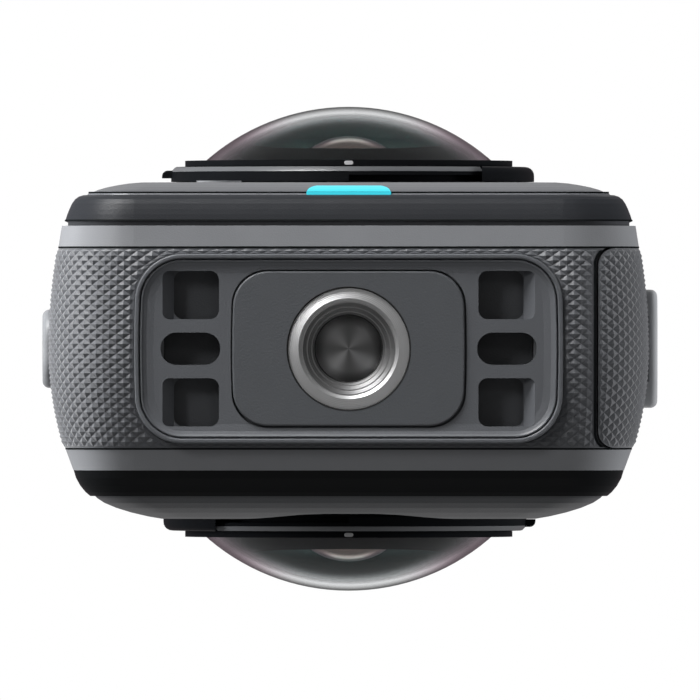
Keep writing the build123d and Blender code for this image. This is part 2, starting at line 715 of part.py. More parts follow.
def make_card_socket():
    """The memory card's socket, open towards the left."""
    end = CARD_PUSH + CARD_CLEARANCE + CARD_LENGTH - inner_x - CARD_PROUD
    shell = block((-inner_x, end + CARD_WALL), grow(card_y, CARD_WALL + CARD_CLEARANCE),
                  (opening_z[1] + BAY_WALL, card_z[1] + CARD_CLEARANCE + CARD_WALL))
    return shell - block((-BODY_WIDTH, end), grow(card_y, CARD_CLEARANCE), grow(card_z, CARD_CLEARANCE))


def make_front_button(x, radius):
    """A round front button with its flange behind the plate and its stem."""
    front = plate_front + FRONT_BUTTON_PROUD
    flange = plate_back - SLIP
    tip = frame_back + SWITCH_HEIGHT + SWITCH_CLEARANCE + FRONT_BUTTON_TRAVEL
    cap = rod("Y", radius, (-front, -flange), x, button_z)
    cap = fillet(cap.edges().group_by(Axis.Y)[0], BUTTON_ROUNDING)
    cap += rod("Y", radius + BUTTON_FLANGE, (-flange, BUTTON_FLANGE_THICKNESS - flange), x, button_z)
    return cap + rod("Y", FRONT_STEM_RADIUS, (-flange, -tip), x, button_z)


def make_grille(y, x):
    """A small round microphone grille with a ring of holes."""
    grille = rod("Y", MIC_RADIUS, y, x, mic_z)
    with_holes = grille - rod("Y", MIC_HOLE_RADIUS, grow(y, OVERRUN), x, mic_z)
    for place in PolarLocations(MIC_HOLE_CIRCLE, MIC_HOLES):
        shift = place.position
        with_holes -= rod("Y", MIC_HOLE_RADIUS, grow(y, OVERRUN), x + shift.X, mic_z + shift.Y)
    return with_holes


def make_lens(back):
    """The pieces of one lens, on the screen side. Back is the depth of the inner face of its plate."""
    def lens_rod(radius, low, high):
        return rod("Y", radius, (-high, -low), 0, lens_z)

    def ball(radius, apex):
        return Pos(0, radius - apex, lens_z) * Sphere(radius)

    flange = back - SEAT_FLANGE
    shoulder = flange - BARREL_SHOULDER
    seat = lens_rod(half - SHELL_INNER - SEAT_FLANGE_ROOM, flange, back)
    seat += lens_rod(SEAT_RADIUS, back, SEAT_TOP)
    seat -= lens_rod(BARREL_TOP_RADIUS + FIT, flange - OVERRUN, SEAT_TOP + OVERRUN)

    rim = lens_rod(LOCK_RIM_RADIUS, LOCK_RIM_BOTTOM, LOCK_TOP)
    lock = rim + lens_rod(LOCK_RADIUS, LOCK_BOTTOM, LOCK_RIM_BOTTOM)
    lock += lens_rod(LOCK_BLOCK_RADIUS, LOCK_BOTTOM, LOCK_TOP) & block(
        (LOCK_BLOCK_X, half), (-LOCK_TOP, -LOCK_BOTTOM), centred(2 * LOCK_BLOCK_RADIUS, lens_z))
    lug_middle = (LOCK_BOTTOM + LOCK_TOP) / 2
    lock += block((-LOCK_LUG_REACH, -LOCK_BORE), centred(LOCK_LUG_THICKNESS, -lug_middle),
                  centred(LOCK_LUG_WIDTH, lens_z))
    slot_y = (-LOCK_SLOT_TOP, OVERRUN - LOCK_BOTTOM)
    slot = ring("Y", LOCK_RADIUS + OVERRUN, LOCK_RADIUS - LOCK_SLOT_DEPTH, slot_y, 0, lens_z)
    lock -= slot & block((0, LOCK_BLOCK_X), wide, (0, lens_z))
    lock -= lens_rod(LOCK_BORE, LOCK_BOTTOM - OVERRUN, LOCK_TOP + OVERRUN)

    cell = lens_rod(CELL_NECK, CELL_BOTTOM, CELL_FLANGE_BOTTOM)
    cell += lens_rod(CELL_RADIUS, CELL_FLANGE_BOTTOM, CELL_TOP)
    cell -= lens_rod(CELL_BORE, CELL_BOTTOM - OVERRUN, CELL_TOP + OVERRUN)
    dome_edge = (DOME_RADIUS ** 2 - (DOME_RADIUS - DOME_HEIGHT) ** 2) ** 0.5
    cell -= lens_rod(dome_edge + FIT, DOME_SEAT, CELL_TOP + OVERRUN)

    apex = DOME_SEAT + DOME_HEIGHT
    slab = lens_rod(DOME_RADIUS, DOME_SEAT, apex + OVERRUN)
    dome = (ball(DOME_RADIUS, apex) - ball(DOME_RADIUS - DOME_THICKNESS, apex - DOME_THICKNESS)) & slab

    low = BRACKET_THICKNESS / 2 + SENSOR_BOARD_THICKNESS
    barrel = lens_rod(BARREL_TOP_RADIUS, flange, BARREL_TOP)
    barrel += lens_rod(BARREL_SHOULDER_RADIUS, shoulder, flange)
    barrel += lens_rod(BARREL_MIDDLE_RADIUS, BARREL_MIDDLE_END, shoulder)
    barrel += lens_rod(BARREL_LOW_RADIUS, low, BARREL_MIDDLE_END)
    barrel -= lens_rod(BARREL_BORE, BARREL_BORE_FLOOR, BARREL_TOP + OVERRUN)
    barrel -= lens_rod(SENSOR_BORE, RELAY_TOP, BARREL_BORE_FLOOR)
    barrel -= lens_rod(RELAY_RADIUS, RELAY_BOTTOM, RELAY_TOP)
    barrel -= block(centred(SENSOR_SIZE + 2 * SLIP), (-RELAY_BOTTOM, OVERRUN - low),
                    centred(SENSOR_SIZE + 2 * SLIP, lens_z))
    inner_apex = apex - INNER_GAP
    inner = ball(INNER_RADIUS, inner_apex) & lens_rod(BARREL_TOP_RADIUS - INNER_EDGE, BARREL_TOP, inner_apex)
    inner += lens_rod(BARREL_BORE - FIT, BARREL_BORE_FLOOR, BARREL_TOP)
    inner += lens_rod(SENSOR_BORE, RELAY_TOP, BARREL_BORE_FLOOR)
    inner += lens_rod(RELAY_RADIUS, RELAY_BOTTOM, RELAY_TOP)
    board = block(centred(SENSOR_BOARD_SIZE), (-low, SENSOR_BOARD_THICKNESS - low),
                  centred(SENSOR_BOARD_SIZE, lens_z))
    board += block(centred(SENSOR_SIZE), (-low - SENSOR_THICKNESS, -low), centred(SENSOR_SIZE, lens_z))
    return {
        "lens_seat": seat, "lens_lock": lock, "lens_cell": cell, "lens_dome": dome, "lens_barrel": barrel,
        "inner_lens": inner, "sensor_board": board,
    }


def make_screws(face, inward):
    """Six equal frame screws: their heads on a face, their shanks inwards."""
    screws = []
    for x, z in screw_places:
        head = rod("Y", SCREW_HEAD_RADIUS, sorted((face, face - inward * SCREW_HEAD_HEIGHT)), x, z)
        head -= rod("Y", SCREW_RADIUS * SOCKET_SHARE * 2, sorted((face - inward * SCREW_HEAD_HEIGHT / 2,
                                                                  face - inward * OVERRUN)), x, z)
        screws.append(head + rod("Y", SCREW_RADIUS, sorted((face, face + inward * SCREW_LENGTH)), x, z))
    return screws


# Body
parts["chassis"] = make_chassis()
parts["grip_wrap"], parts["grip_base"] = make_wrap_pieces()
gasket_y = (-frame_back, -CHASSIS_FRONT)
parts["frame_gasket"] = hoop(polygon(*[(y, inset) for y, inset in zip(
    (gasket_y[0], gasket_y[1], gasket_y[1], gasket_y[0]),
    (GASKET_INSETS[0], GASKET_INSETS[0], GASKET_INSETS[1], GASKET_INSETS[1]))]))
rounding = edge(FRAME_SHARES, frame_back, FRAME_DEPTH, FRAME_INSET, FRAME_ROUND)
frame = hoop(polygon(*[(-depth, inset) for depth, inset in rounding], (-plate_back, FRAME_INNER),
                     (-frame_back, FRAME_INNER)))
front_lug = CHASSIS_FRONT + LUG_THICKNESS
for x, z in screw_places:
    frame += rod("Y", BOSS_RADIUS, (-front_lug, -CHASSIS_FRONT), x, z)
    frame -= rod("Y", SCREW_RADIUS, (-plate_back, 0), x, z)
    frame -= rod("Y", SCREW_HEAD_RADIUS, (-plate_back - OVERRUN, -front_lug), x, z)
parts["front_frame"] = frame
rounding = edge(SHELL_SHARES, CHASSIS_REAR, SHELL_DEPTH, SHELL_INSET, SHELL_ROUND)
shell = hoop(polygon(*rounding, (panel_back, SHELL_INNER), (CHASSIS_REAR, SHELL_INNER)))
rear_lug = CHASSIS_REAR + REAR_LUG_THICKNESS
for x, z in screw_places:
    shell += rod("Y", BOSS_RADIUS, (CHASSIS_REAR, rear_lug), x, z)
    shell -= rod("Y", SCREW_RADIUS, (0, panel_back), x, z)
    shell -= rod("Y", SCREW_HEAD_RADIUS, (rear_lug, panel_back + OVERRUN), x, z)
parts["rear_shell"] = shell
parts["frame_screws"] = Compound(children=make_screws(-front_lug, 1) + make_screws(rear_lug, -1))

# Front plate, with the screen, the light bar and the microphone grille set in it
plate = layers(edge(PLATE_SHARES, plate_back, PLATE_THICKNESS, PLATE_INSET, PLATE_BEVEL))
glass_z = (bottom + GLASS_FOOT, top - GLASS_DROP)
glass_width = BODY_WIDTH - 2 * GLASS_INSET
window = rounded("Y", glass_width, glass_z[1] - glass_z[0], GLASS_CORNER, (-plate_front - OVERRUN, 0),
                 0, sum(glass_z) / 2)
light_low = bottom + PLATE_INSET
light = prism("Y", polygon((-LIGHT_WIDTH / 2, light_low), (LIGHT_WIDTH / 2, light_low),
                           (LIGHT_TOP_WIDTH / 2, light_low + LIGHT_HEIGHT),
                           (-LIGHT_TOP_WIDTH / 2, light_low + LIGHT_HEIGHT)), (-plate_front - OVERRUN, 0))
parts["screen_glass"] = plate & window
parts["light_bar"] = plate & light
plate -= window + light
plate -= rod("Y", SEAT_RADIUS + FIT, (-plate_front - OVERRUN, 0), 0, lens_z)
plate -= rod("Y", RECORD_RADIUS + SLIP, (-plate_front - OVERRUN, 0), -FRONT_BUTTON_X, button_z)
plate -= rod("Y", LENS_BUTTON_RADIUS + SLIP, (-plate_front - OVERRUN, 0), FRONT_BUTTON_X, button_z)
plate -= rod("Y", MIC_RADIUS, (-plate_front - OVERRUN, 0), MIC_X, mic_z)
parts["front_plate"] = plate
parts["display_module"] = block(
    centred(glass_width - 2 * DISPLAY_EDGE), (-plate_back, DISPLAY_THICKNESS - plate_back),
    (glass_z[0] + DISPLAY_FOOT_EDGE, glass_z[1] - DISPLAY_EDGE))
parts["front_mic_grille"] = make_grille((-plate_front - MIC_PROUD, -plate_back), MIC_X)
parts["record_button"] = make_front_button(-FRONT_BUTTON_X, RECORD_RADIUS) + rod(
    "Y", RECORD_DOT_RADIUS, (-plate_front - RECORD_DOT_PROUD, -plate_front), -FRONT_BUTTON_X, button_z)
parts["lens_button"] = make_front_button(FRONT_BUTTON_X, LENS_BUTTON_RADIUS)
switch_foot = bottom + SWITCH_BOARD_FOOT
switch_board = block(centred(SWITCH_BOARD_WIDTH), (-frame_back, BOARD_THICKNESS - frame_back),
                     (switch_foot, switch_foot + SWITCH_BOARD_HEIGHT))
for side in (-1, 1):
    switch_board += block(centred(SWITCH_SIZE, side * FRONT_BUTTON_X),
                          (-frame_back - SWITCH_HEIGHT, -frame_back), centred(SWITCH_SIZE, button_z))
parts["front_switch_board"] = switch_board

# Rear panel
rounding = edge(PANEL_SHARES, panel_back, PANEL_THICKNESS, PANEL_INSET, PANEL_BEVEL)
panel = layers([(-depth, inset) for depth, inset in rounding])
dip_x, floor, rear = PANEL_DIP_WIDTH / 2, PANEL_DIP_FLOOR / 2, panel_rear + OVERRUN
dip = make_face([
    Spline((-dip_x, panel_rear), (-floor, panel_rear - PANEL_DIP), tangents=((1, 0), (1, 0))),
    Line((-floor, panel_rear - PANEL_DIP), (floor, panel_rear - PANEL_DIP)),
    Spline((floor, panel_rear - PANEL_DIP), (dip_x, panel_rear), tangents=((1, 0), (1, 0))),
    Polyline((dip_x, panel_rear), (dip_x, rear), (-dip_x, rear), (-dip_x, panel_rear)),
])
panel -= prism("Z", dip, (0, top))
panel -= rod("Y", SEAT_RADIUS + FIT, (0, panel_rear + OVERRUN), 0, lens_z)
panel -= rod("Y", MIC_RADIUS, (0, panel_rear + OVERRUN), -MIC_X, mic_z)
parts["rear_panel"] = panel
parts["rear_mic_grille"] = make_grille((panel_back, panel_rear + MIC_PROUD), -MIC_X)
parts["microphones"] = Compound(children=[
    block(centred(MIC_BODY, MIC_X), (-plate_back, MIC_DEPTH - plate_back), centred(MIC_BODY, mic_z)),
    block(centred(MIC_BODY, -MIC_X), (panel_back - MIC_DEPTH, panel_back), centred(MIC_BODY, mic_z)),
])

# Base
rim = prism("Z", base_outline(0), (0, bottom + WRAP_FLOOR))
rim -= prism("Z", base_outline(RIM_WALL), (-OVERRUN, CORE_TOP))
parts["base_rim"] = fillet(rim.edges().group_by(Axis.Z)[0], RIM_ROUNDING)
parts["base_plate"] = make_base_plate()
pad = prism("Z", bulged(pad_width, PAD_DEPTH, PAD_CORNER, PAD_BULGE), (PAD_SINK, PAD_SINK + PAD_THICKNESS))
pad = fillet(pad.edges().group_by(Axis.Z)[0], PAD_ROUNDING)
parts["base_pad"] = pad - rod("Z", INSERT_FLANGE_RADIUS + FIT, (0, CORE_TOP))
parts["tripod_insert"] = make_insert()
base_screws = []
wall_top = bottom + CHASSIS_INNER
for x, y in four(base_screw_x, BASE_SCREW_Y):
    base_screws.append(rod("Z", BASE_SCREW_HEAD_RADIUS, (wall_top, wall_top + BASE_SCREW_HEAD_HEIGHT), x, y)
                       + rod("Z", BASE_SCREW_RADIUS, (BASE_SCREW_TIP, wall_top), x, y))
parts["base_screws"] = Compound(children=base_screws)

# Left side: battery, cover, latch, memory card and speaker
parts["battery_bay"] = make_bay()
battery = block(battery_x, battery_y, battery_z)
parts["battery"] = fillet(battery.edges().filter_by(Axis.X), BATTERY_CORNER)
parts["battery_cover"] = make_cover()
parts["battery_seal"] = seal_ring((-inner_x - 2 * SEAL_WIDTH, -inner_x - SEAL_WIDTH))
parts["battery_latch"] = make_latch()
contact_z = opening_z[0] + CONTACT_LENGTH
parts["battery_contacts"] = block((bay_end - CONTACT_THICKNESS, bay_end), centred(CONTACT_WIDTH, BATTERY_Y),
                                  centred(CONTACT_LENGTH, contact_z))
parts["card_socket"] = make_card_socket()
card_left = -inner_x - CARD_PROUD
parts["memory_card"] = block((card_left, card_left + CARD_LENGTH), card_y, card_z)
speaker_x = (-inner_x, SPEAKER_WIDTH - inner_x)
parts["speaker"] = block(speaker_x, centred(SPEAKER_DEPTH), (SPEAKER_BOTTOM, SPEAKER_TOP))
grille = wrap(WRAP_FLOOR) & block((-BODY_WIDTH, -half / 2), centred(SOUND_WIDTH + 2 * GRILLE_EDGE),
                                  (SOUND_BOTTOM - GRILLE_EDGE, SOUND_TOP + GRILLE_EDGE))
pitch = (SOUND_TOP - SOUND_BOTTOM) / GRILLE_SLOTS
for step in range(GRILLE_SLOTS):
    z = SOUND_BOTTOM + (step + 0.5) * pitch
    grille -= block((-BODY_WIDTH, -half / 2), centred(SOUND_WIDTH), centred(pitch * GRILLE_SLOT_SHARE, z))
parts["speaker_grille"] = grille

# Right side: buttons, switches, USB socket and its door
for name, z in side_button_z.items():
    parts[name] = make_side_button(z)
switch_face = inner_x - SIDE_STEM_REACH - SIDE_BUTTON_TRAVEL - SWITCH_CLEARANCE
side_face = switch_face - SIDE_SWITCH_HEIGHT
side_board = block((side_face - BOARD_THICKNESS, side_face), centred(SIDE_BOARD_WIDTH),
                   (quick_z - SIDE_BOARD_EDGE, power_z + SIDE_BOARD_EDGE))
for z in side_button_z.values():
    side_board += block((side_face, switch_face), centred(SWITCH_SIZE), centred(SWITCH_SIZE, z))
parts["side_switch_board"] = side_board
socket_x = (usb_front - USB_LENGTH, usb_front)
socket = rounded("X", USB_HEIGHT, USB_WIDTH, USB_HEIGHT / 2 - FIT, socket_x, USB_Y, usb_middle)
hollow = USB_HEIGHT - 2 * USB_WALL
socket -= rounded("X", hollow, USB_WIDTH - 2 * USB_WALL, hollow / 2 - FIT,
                  (usb_front - USB_LENGTH + USB_WALL, usb_front + OVERRUN), USB_Y, usb_middle)
socket += block((socket_x[0], usb_front - USB_RECESS), centred(USB_TONGUE, USB_Y),
                centred(USB_TONGUE_WIDTH, usb_middle))
parts["usb_socket"] = socket
parts["usb_board"] = block((usb_front - USB_LENGTH, inner_x), (usb_y[1], usb_y[1] + BOARD_THICKNESS),
                           (usb_middle - USB_BOARD_FOOT, usb_middle + USB_BOARD_HEAD))
parts["usb_door"] = make_door()
plug_end = floor_x + COVER_LIFT
plug = usb_opening((floor_x - PLUG_REACH, plug_end), PLUG_CLEARANCE)
parts["usb_door_seal"] = plug - usb_opening((0, BODY_WIDTH), PLUG_CLEARANCE + PLUG_WALL)
parts["usb_door_latch"] = block(
    (half - DOOR_LATCH_FLOOR + FIT, half - DOOR_LATCH_TOP), centred(DOOR_LATCH_WIDTH),
    (DOOR_LATCH_BOTTOM, DOOR_LATCH_BOTTOM + DOOR_LATCH_LENGTH))
parts["usb_hinge_pin"] = hinge_rod(PIN_RADIUS, centred(2 * LUG_Y + LUG_WIDTH))

# Boards
board_front = board_back + BOARD_THICKNESS
board_width = 2 * (inner_x - MAIN_BOARD_EDGE)
main_board = block(centred(board_width), (-board_front, -board_back), (MAIN_BOARD_BOTTOM, main_board_top))
parts["main_board"] = main_board + block(
    centred(board_width - 2 * SHIELD_INSET), (-board_front - SHIELD_HEIGHT, -board_front),
    (MAIN_BOARD_BOTTOM + SHIELD_FOOT_INSET, main_board_top - SHIELD_HEAD_INSET))
spreader_y = opening_y[1] + BAY_WALL
parts["heat_spreader"] = block(
    centred(2 * (inner_x - SPREADER_EDGE)), (spreader_y, spreader_y + SPREADER_THICKNESS),
    (SPREADER_BOTTOM, main_board_top))

# Lenses, back to back on one bracket
bracket = prism("Y", outline(CHASSIS_INNER), centred(BRACKET_THICKNESS))
bracket &= block(wide, wide, (bracket_bottom, top))
parts["lens_bracket"] = bracket - block(centred(BRACKET_WINDOW), wide, centred(BRACKET_WINDOW, lens_z))
for name, piece in make_lens(plate_back).items():
    parts["front_" + name] = piece
for name, piece in make_lens(panel_back).items():
    parts["rear_" + name] = turned(piece)

os.makedirs("parts", exist_ok=True)
for name, piece in parts.items():
    export_step(piece, "parts/" + name + ".step")
print(len(parts), "nodes")
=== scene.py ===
"""Looks of a pocket 360 degree camera, seen from below as in the photograph. Lengths of the model are in mm."""
import math

import bmesh
import bpy
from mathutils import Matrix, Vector


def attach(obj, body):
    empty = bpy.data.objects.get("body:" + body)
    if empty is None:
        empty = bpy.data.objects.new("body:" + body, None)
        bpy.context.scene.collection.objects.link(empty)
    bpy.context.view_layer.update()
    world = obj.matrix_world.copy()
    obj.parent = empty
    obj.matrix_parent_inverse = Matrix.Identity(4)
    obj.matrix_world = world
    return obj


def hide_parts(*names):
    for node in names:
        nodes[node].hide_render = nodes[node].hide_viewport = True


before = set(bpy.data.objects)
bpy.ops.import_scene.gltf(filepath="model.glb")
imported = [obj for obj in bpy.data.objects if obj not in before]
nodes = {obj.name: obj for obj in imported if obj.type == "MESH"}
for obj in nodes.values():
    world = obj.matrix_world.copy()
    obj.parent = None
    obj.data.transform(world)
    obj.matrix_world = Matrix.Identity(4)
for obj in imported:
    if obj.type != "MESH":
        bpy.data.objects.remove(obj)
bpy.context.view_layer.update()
MM = 0.001

# Outline of the wrap seen from the front, as in the model: half width, bottom, top, and radii of its corners
HALF = 22.8
BOTTOM = 0.1
TOP = 124.5
LOW = 6.6
HIGH = 13.0
LOW_ARC = LOW * math.pi / 2
HIGH_ARC = HIGH * math.pi / 2
FLAT = HALF - LOW
SIDE = TOP - BOTTOM - LOW - HIGH

# The wrap's front and rear edge, how far its curved section falls back there, and how deep the knurl's ground lies
WRAP = (-7.6, 7.5)
EDGE_INSET = (0.65, 1.13)
GROUND = 0.2

# The knurl: its pyramids' length and width, their height, and the plain margin at the wrap's edges
PITCH_S = 1.10
PITCH_Y = 0.74
KNURL_HEIGHT = 0.16
MARGIN = 0.06
# Pyramids cut down to a smaller share than this are left out, and those above the larger count as whole
SMALLEST_SHARE = 0.3
WHOLE_SHARE = 0.98

# The socket door's seam: the X of its wrap side, its middle and its door side, and how far it runs past the wrap
SEAM_WRAP = 18.42
SEAM_STRIP = 18.68
SEAM_DOOR = 18.93
SEAM_ROOM = 0.15
SEAM_CORNER = 1.3

LENS_Z = 103.0

# Sockets of the Principled shader that a material may set, by short names
SOCKETS = {
    "roughness": "Roughness", "metallic": "Metallic", "specular": "Specular IOR Level",
    "specular_tint": "Specular Tint", "anisotropic": "Anisotropic", "ior": "IOR",
    "transmission": "Transmission Weight", "sheen": "Sheen Weight", "sheen_roughness": "Sheen Roughness",
    "sheen_tint": "Sheen Tint", "coat": "Coat Weight", "coat_roughness": "Coat Roughness", "coat_ior": "Coat IOR",
    "coat_tint": "Coat Tint", "emission": "Emission Color", "strength": "Emission Strength",
}
USUAL_LOOK = {"ior": 1.45, "sheen_roughness": 0.3}


def smooth(piece, angle):
    """Shades a piece smooth, but for edges sharper than an angle in degrees."""
    for face in piece.data.polygons:
        face.use_smooth = True
    edge = piece.modifiers.new("crease", "EDGE_SPLIT")
    edge.split_angle = math.radians(angle)


def mesh_piece(name, vertices, faces, body, surface):
    """A piece of the visual model, which moves with a body."""
    mesh = bpy.data.meshes.new(name)
    mesh.from_pydata([tuple(MM * c for c in v) for v in vertices], [], faces)
    mesh.update()
    piece = bpy.data.objects.new(name, mesh)
    bpy.context.scene.collection.objects.link(piece)
    mesh.materials.append(surface)
    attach(piece, body)
    return piece


def compute(tree, operation, *values):
    """The result of a math node, from numbers or outputs."""
    node = tree.nodes.new("ShaderNodeMath")
    node.operation = operation
    for socket, value in zip(node.inputs, values):
        if isinstance(value, bpy.types.NodeSocket):
            tree.links.new(value, socket)
        else:
            socket.default_value = value
    return node.outputs[0]


def ramp(tree, value, low, high, start=0.0, end=1.0, kind="LINEAR"):
    """A value that runs from start to end while the given one runs from low to high."""
    node = tree.nodes.new("ShaderNodeMapRange")
    node.interpolation_type = kind
    for name, number in (("From Min", low), ("From Max", high), ("To Min", start), ("To Max", end)):
        node.inputs[name].default_value = number
    tree.links.new(value, node.inputs["Value"])
    return node.outputs["Result"]


def noise_value(tree, place, scale, detail):
    """A value from 0 to 1 that changes softly from place to place."""
    node = tree.nodes.new("ShaderNodeTexNoise")
    node.inputs["Scale"].default_value = scale
    node.inputs["Detail"].default_value = detail
    tree.links.new(place, node.inputs["Vector"])
    return node.outputs["Fac"]


def lift_surface(tree, shader, height, strength, distance):
    """Lifts the shader's surface by a height map."""
    node = tree.nodes.new("ShaderNodeBump")
    node.inputs["Strength"].default_value = strength
    node.inputs["Distance"].default_value = distance
    tree.links.new(height, node.inputs["Height"])
    tree.links.new(node.outputs["Normal"], shader.inputs["Normal"])


def fan_highlight_level(tree, place, level, highlight_fans, depth):
    """The level times a wave that goes round the Z axis: painted highlight fans, as light lies on a turned face."""
    turn = tree.nodes.new("ShaderNodeTexGradient")
    turn.gradient_type = "RADIAL"
    tree.links.new(place, turn.inputs["Vector"])
    wave = compute(tree, "COSINE", compute(tree, "MULTIPLY", turn.outputs["Fac"], 2 * math.pi * highlight_fans))
    return compute(tree, "MULTIPLY", compute(tree, "MULTIPLY_ADD", wave, depth, 1), level)


def core_shade_level(tree, place, level, radius, share, blur=0.06):
    """The level, times a share where the Z axis is nearer than the radius: painted shade inside a bore."""
    flat = tree.nodes.new("ShaderNodeVectorMath")
    flat.operation = "MULTIPLY"
    flat.inputs[1].default_value = (1, 1, 0)
    tree.links.new(place, flat.inputs[0])
    length = tree.nodes.new("ShaderNodeVectorMath")
    length.operation = "LENGTH"
    tree.links.new(flat.outputs["Vector"], length.inputs[0])
    edge = ramp(tree, length.outputs["Value"], (radius - blur) * MM, (radius + blur) * MM, share, 1)
    return compute(tree, "MULTIPLY", edge, level)


def depth_shade_level(tree, place, level, top, bottom, share):
    """The level, falling to a share of it between two heights: painted shade that deepens down a recess."""
    axes = tree.nodes.new("ShaderNodeSeparateXYZ")
    tree.links.new(place, axes.inputs[0])
    edge = ramp(tree, axes.outputs["Z"], top * MM, bottom * MM, 1, share)
    return compute(tree, "MULTIPLY", edge, level)


def turned_grooves(tree, shader, place, strength):
    """Fine grooves round the Z axis."""
    rings = tree.nodes.new("ShaderNodeTexWave")
    rings.wave_type = "RINGS"
    rings.rings_direction = "Z"
    rings.inputs["Scale"].default_value = 2500.0
    rings.inputs["Distortion"].default_value = 0.4
    rings.inputs["Detail"].default_value = 2
    tree.links.new(place, rings.inputs["Vector"])
    lift_surface(tree, shader, rings.outputs["Fac"], strength, 0.00005)


def stretch_round_axis(tree, shader):
    """Stretches highlights across the grooves of a turned face."""
    shader.inputs["Anisotropic Rotation"].default_value = 0.25
    tangent = tree.nodes.new("ShaderNodeTangent")
    tangent.direction_type = "RADIAL"
    tangent.axis = "Z"
    tree.links.new(tangent.outputs["Tangent"], shader.inputs["Tangent"])


def material(name, color, noise, scale=400.0, rough_noise=0.0, bump=0.0, bump_scale=2000.0, turned=0.0, haze=0.0,
             highlight_fans=None, core=None, deep=None, **look):
    """A material whose colour varies with noise, and where asked with painted highlight fans or painted shade. The look
    holds what is the same all over, by the names in SOCKETS.
    """
    m = bpy.data.materials.new(name)
    m.use_nodes = True
    tree = m.node_tree
    shader = tree.nodes["Principled BSDF"]
    shader.inputs["Base Color"].default_value = (*color, 1)
    for key, value in {**USUAL_LOOK, **look}.items():
        shader.inputs[SOCKETS[key]].default_value = (*value, 1) if isinstance(value, tuple) else value
    place = tree.nodes.new("ShaderNodeTexCoord").outputs["Object"]
    grain = noise_value(tree, place, scale, 6)
    level = ramp(tree, grain, 0, 1, 1 - noise, 1 + noise)
    for change, values in ((fan_highlight_level, highlight_fans), (core_shade_level, core), (depth_shade_level, deep)):
        if values:
            level = change(tree, place, level, *values)
    tint = tree.nodes.new("ShaderNodeVectorMath")
    tint.operation = "SCALE"
    tint.inputs[0].default_value = color
    tree.links.new(level, tint.inputs["Scale"])
    tree.links.new(tint.outputs["Vector"], shader.inputs["Base Color"])
    if rough_noise:
        spread = ramp(tree, grain, 0, 1, look["roughness"] - rough_noise, look["roughness"] + rough_noise)
        tree.links.new(spread, shader.inputs["Roughness"])
    if bump:
        lift_surface(tree, shader, noise_value(tree, place, bump_scale, 3), bump, 0.0001)
    if turned:
        turned_grooves(tree, shader, place, turned)
    if haze:
        smoke = tree.nodes.new("ShaderNodeVolumeAbsorption")
        smoke.inputs["Color"].default_value = (0.6, 0.62, 0.65, 1)
        smoke.inputs["Density"].default_value = haze
        tree.links.new(smoke.outputs[0], tree.nodes["Material Output"].inputs["Volume"])
    if "anisotropic" in look:
        stretch_round_axis(tree, shader)
    return m


def paint(name, color, *painted, **more):
    """A material on all slots of the CAD nodes named."""
    m = material(name, color, **more)
    for node in painted:
        slots = nodes[node].data.materials
        if len(slots):
            for index in range(len(slots)):
                nodes[node].material_slots[index].material = m
        else:
            slots.append(m)
    return m


grip = paint("grip_rubber", (0.078, 0.082, 0.091), "grip_wrap", "grip_base", "usb_door", "battery_cover",
             roughness=0.45, noise=0.12, scale=900, bump=0.25, bump_scale=6000, rough_noise=0.08, sheen=0.4,
             sheen_roughness=0.5)
paint("satin_band", (0.2, 0.206, 0.218), "chassis", roughness=0.42, noise=0.05, bump=0.15, bump_scale=9000,
      rough_noise=0.05)
paint("front_bezel", (0.021, 0.0225, 0.026), "front_frame", roughness=0.42, specular=0.22, noise=0.06, bump=0.15,
      bump_scale=9000, rough_noise=0.05)
paint("front_plate_plastic", (0.105, 0.108, 0.115), "front_plate", roughness=0.42, specular=0.3, noise=0.04, bump=0.12,
      bump_scale=9000)
paint("rear_shell_plastic", (0.005, 0.0055, 0.0062), "rear_shell", roughness=0.42, specular=0.2, noise=0.1, bump=0.1,
      bump_scale=9000)
paint("rear_panel_plastic", (0.07, 0.073, 0.078), "rear_panel", roughness=0.45, noise=0.06, bump=0.2, bump_scale=7000)
seam_black = paint("black_rubber", (0.003, 0.004, 0.0045), "battery_seal", "usb_door_seal", roughness=0.7,
                   specular=0.15, noise=0.2, bump=0.3)
paint("gasket_grey", (0.045, 0.047, 0.052), "frame_gasket", roughness=0.6, noise=0.12, bump=0.25)
paint("button_plastic", (0.19, 0.196, 0.206), "battery_latch", "usb_door_latch", "record_button", "lens_button",
      roughness=0.36, noise=0.05, bump=0.15, bump_scale=8000)
paint("light_button_plastic", (0.34, 0.35, 0.365), "power_button", "quick_button", roughness=0.36, noise=0.05,
      bump=0.15, bump_scale=8000)
paint("grille_black", (0.015, 0.015, 0.016), "front_mic_grille", "rear_mic_grille", "speaker_grille", roughness=0.6,
      noise=0.2, bump=0.2)
paint("screen_glass", (0.004, 0.004, 0.006), "screen_glass", roughness=0.05, noise=0.05, coat=1.0, ior=1.5)
paint("display_film", (0.01, 0.01, 0.014), "display_module", roughness=0.2, noise=0.2)
cyan = paint("light_cyan", (0.02, 0.25, 0.32), "light_bar", roughness=0.35, noise=0.03, emission=(0.055, 0.72, 0.86),
             strength=0.62)
# The pockets and slots of the base are painted darker with depth, as painted shade in the recesses
paint("base_metal", (0.105, 0.11, 0.12), "base_plate", "base_rim", roughness=0.42, noise=0.05, bump=0.2,
      bump_scale=8000, rough_noise=0.04, deep=(1.1, 2.5, 0.68))
paint("pad_plastic", (0.083, 0.088, 0.096), "base_pad", roughness=0.5, noise=0.05, bump=0.22, bump_scale=7000)
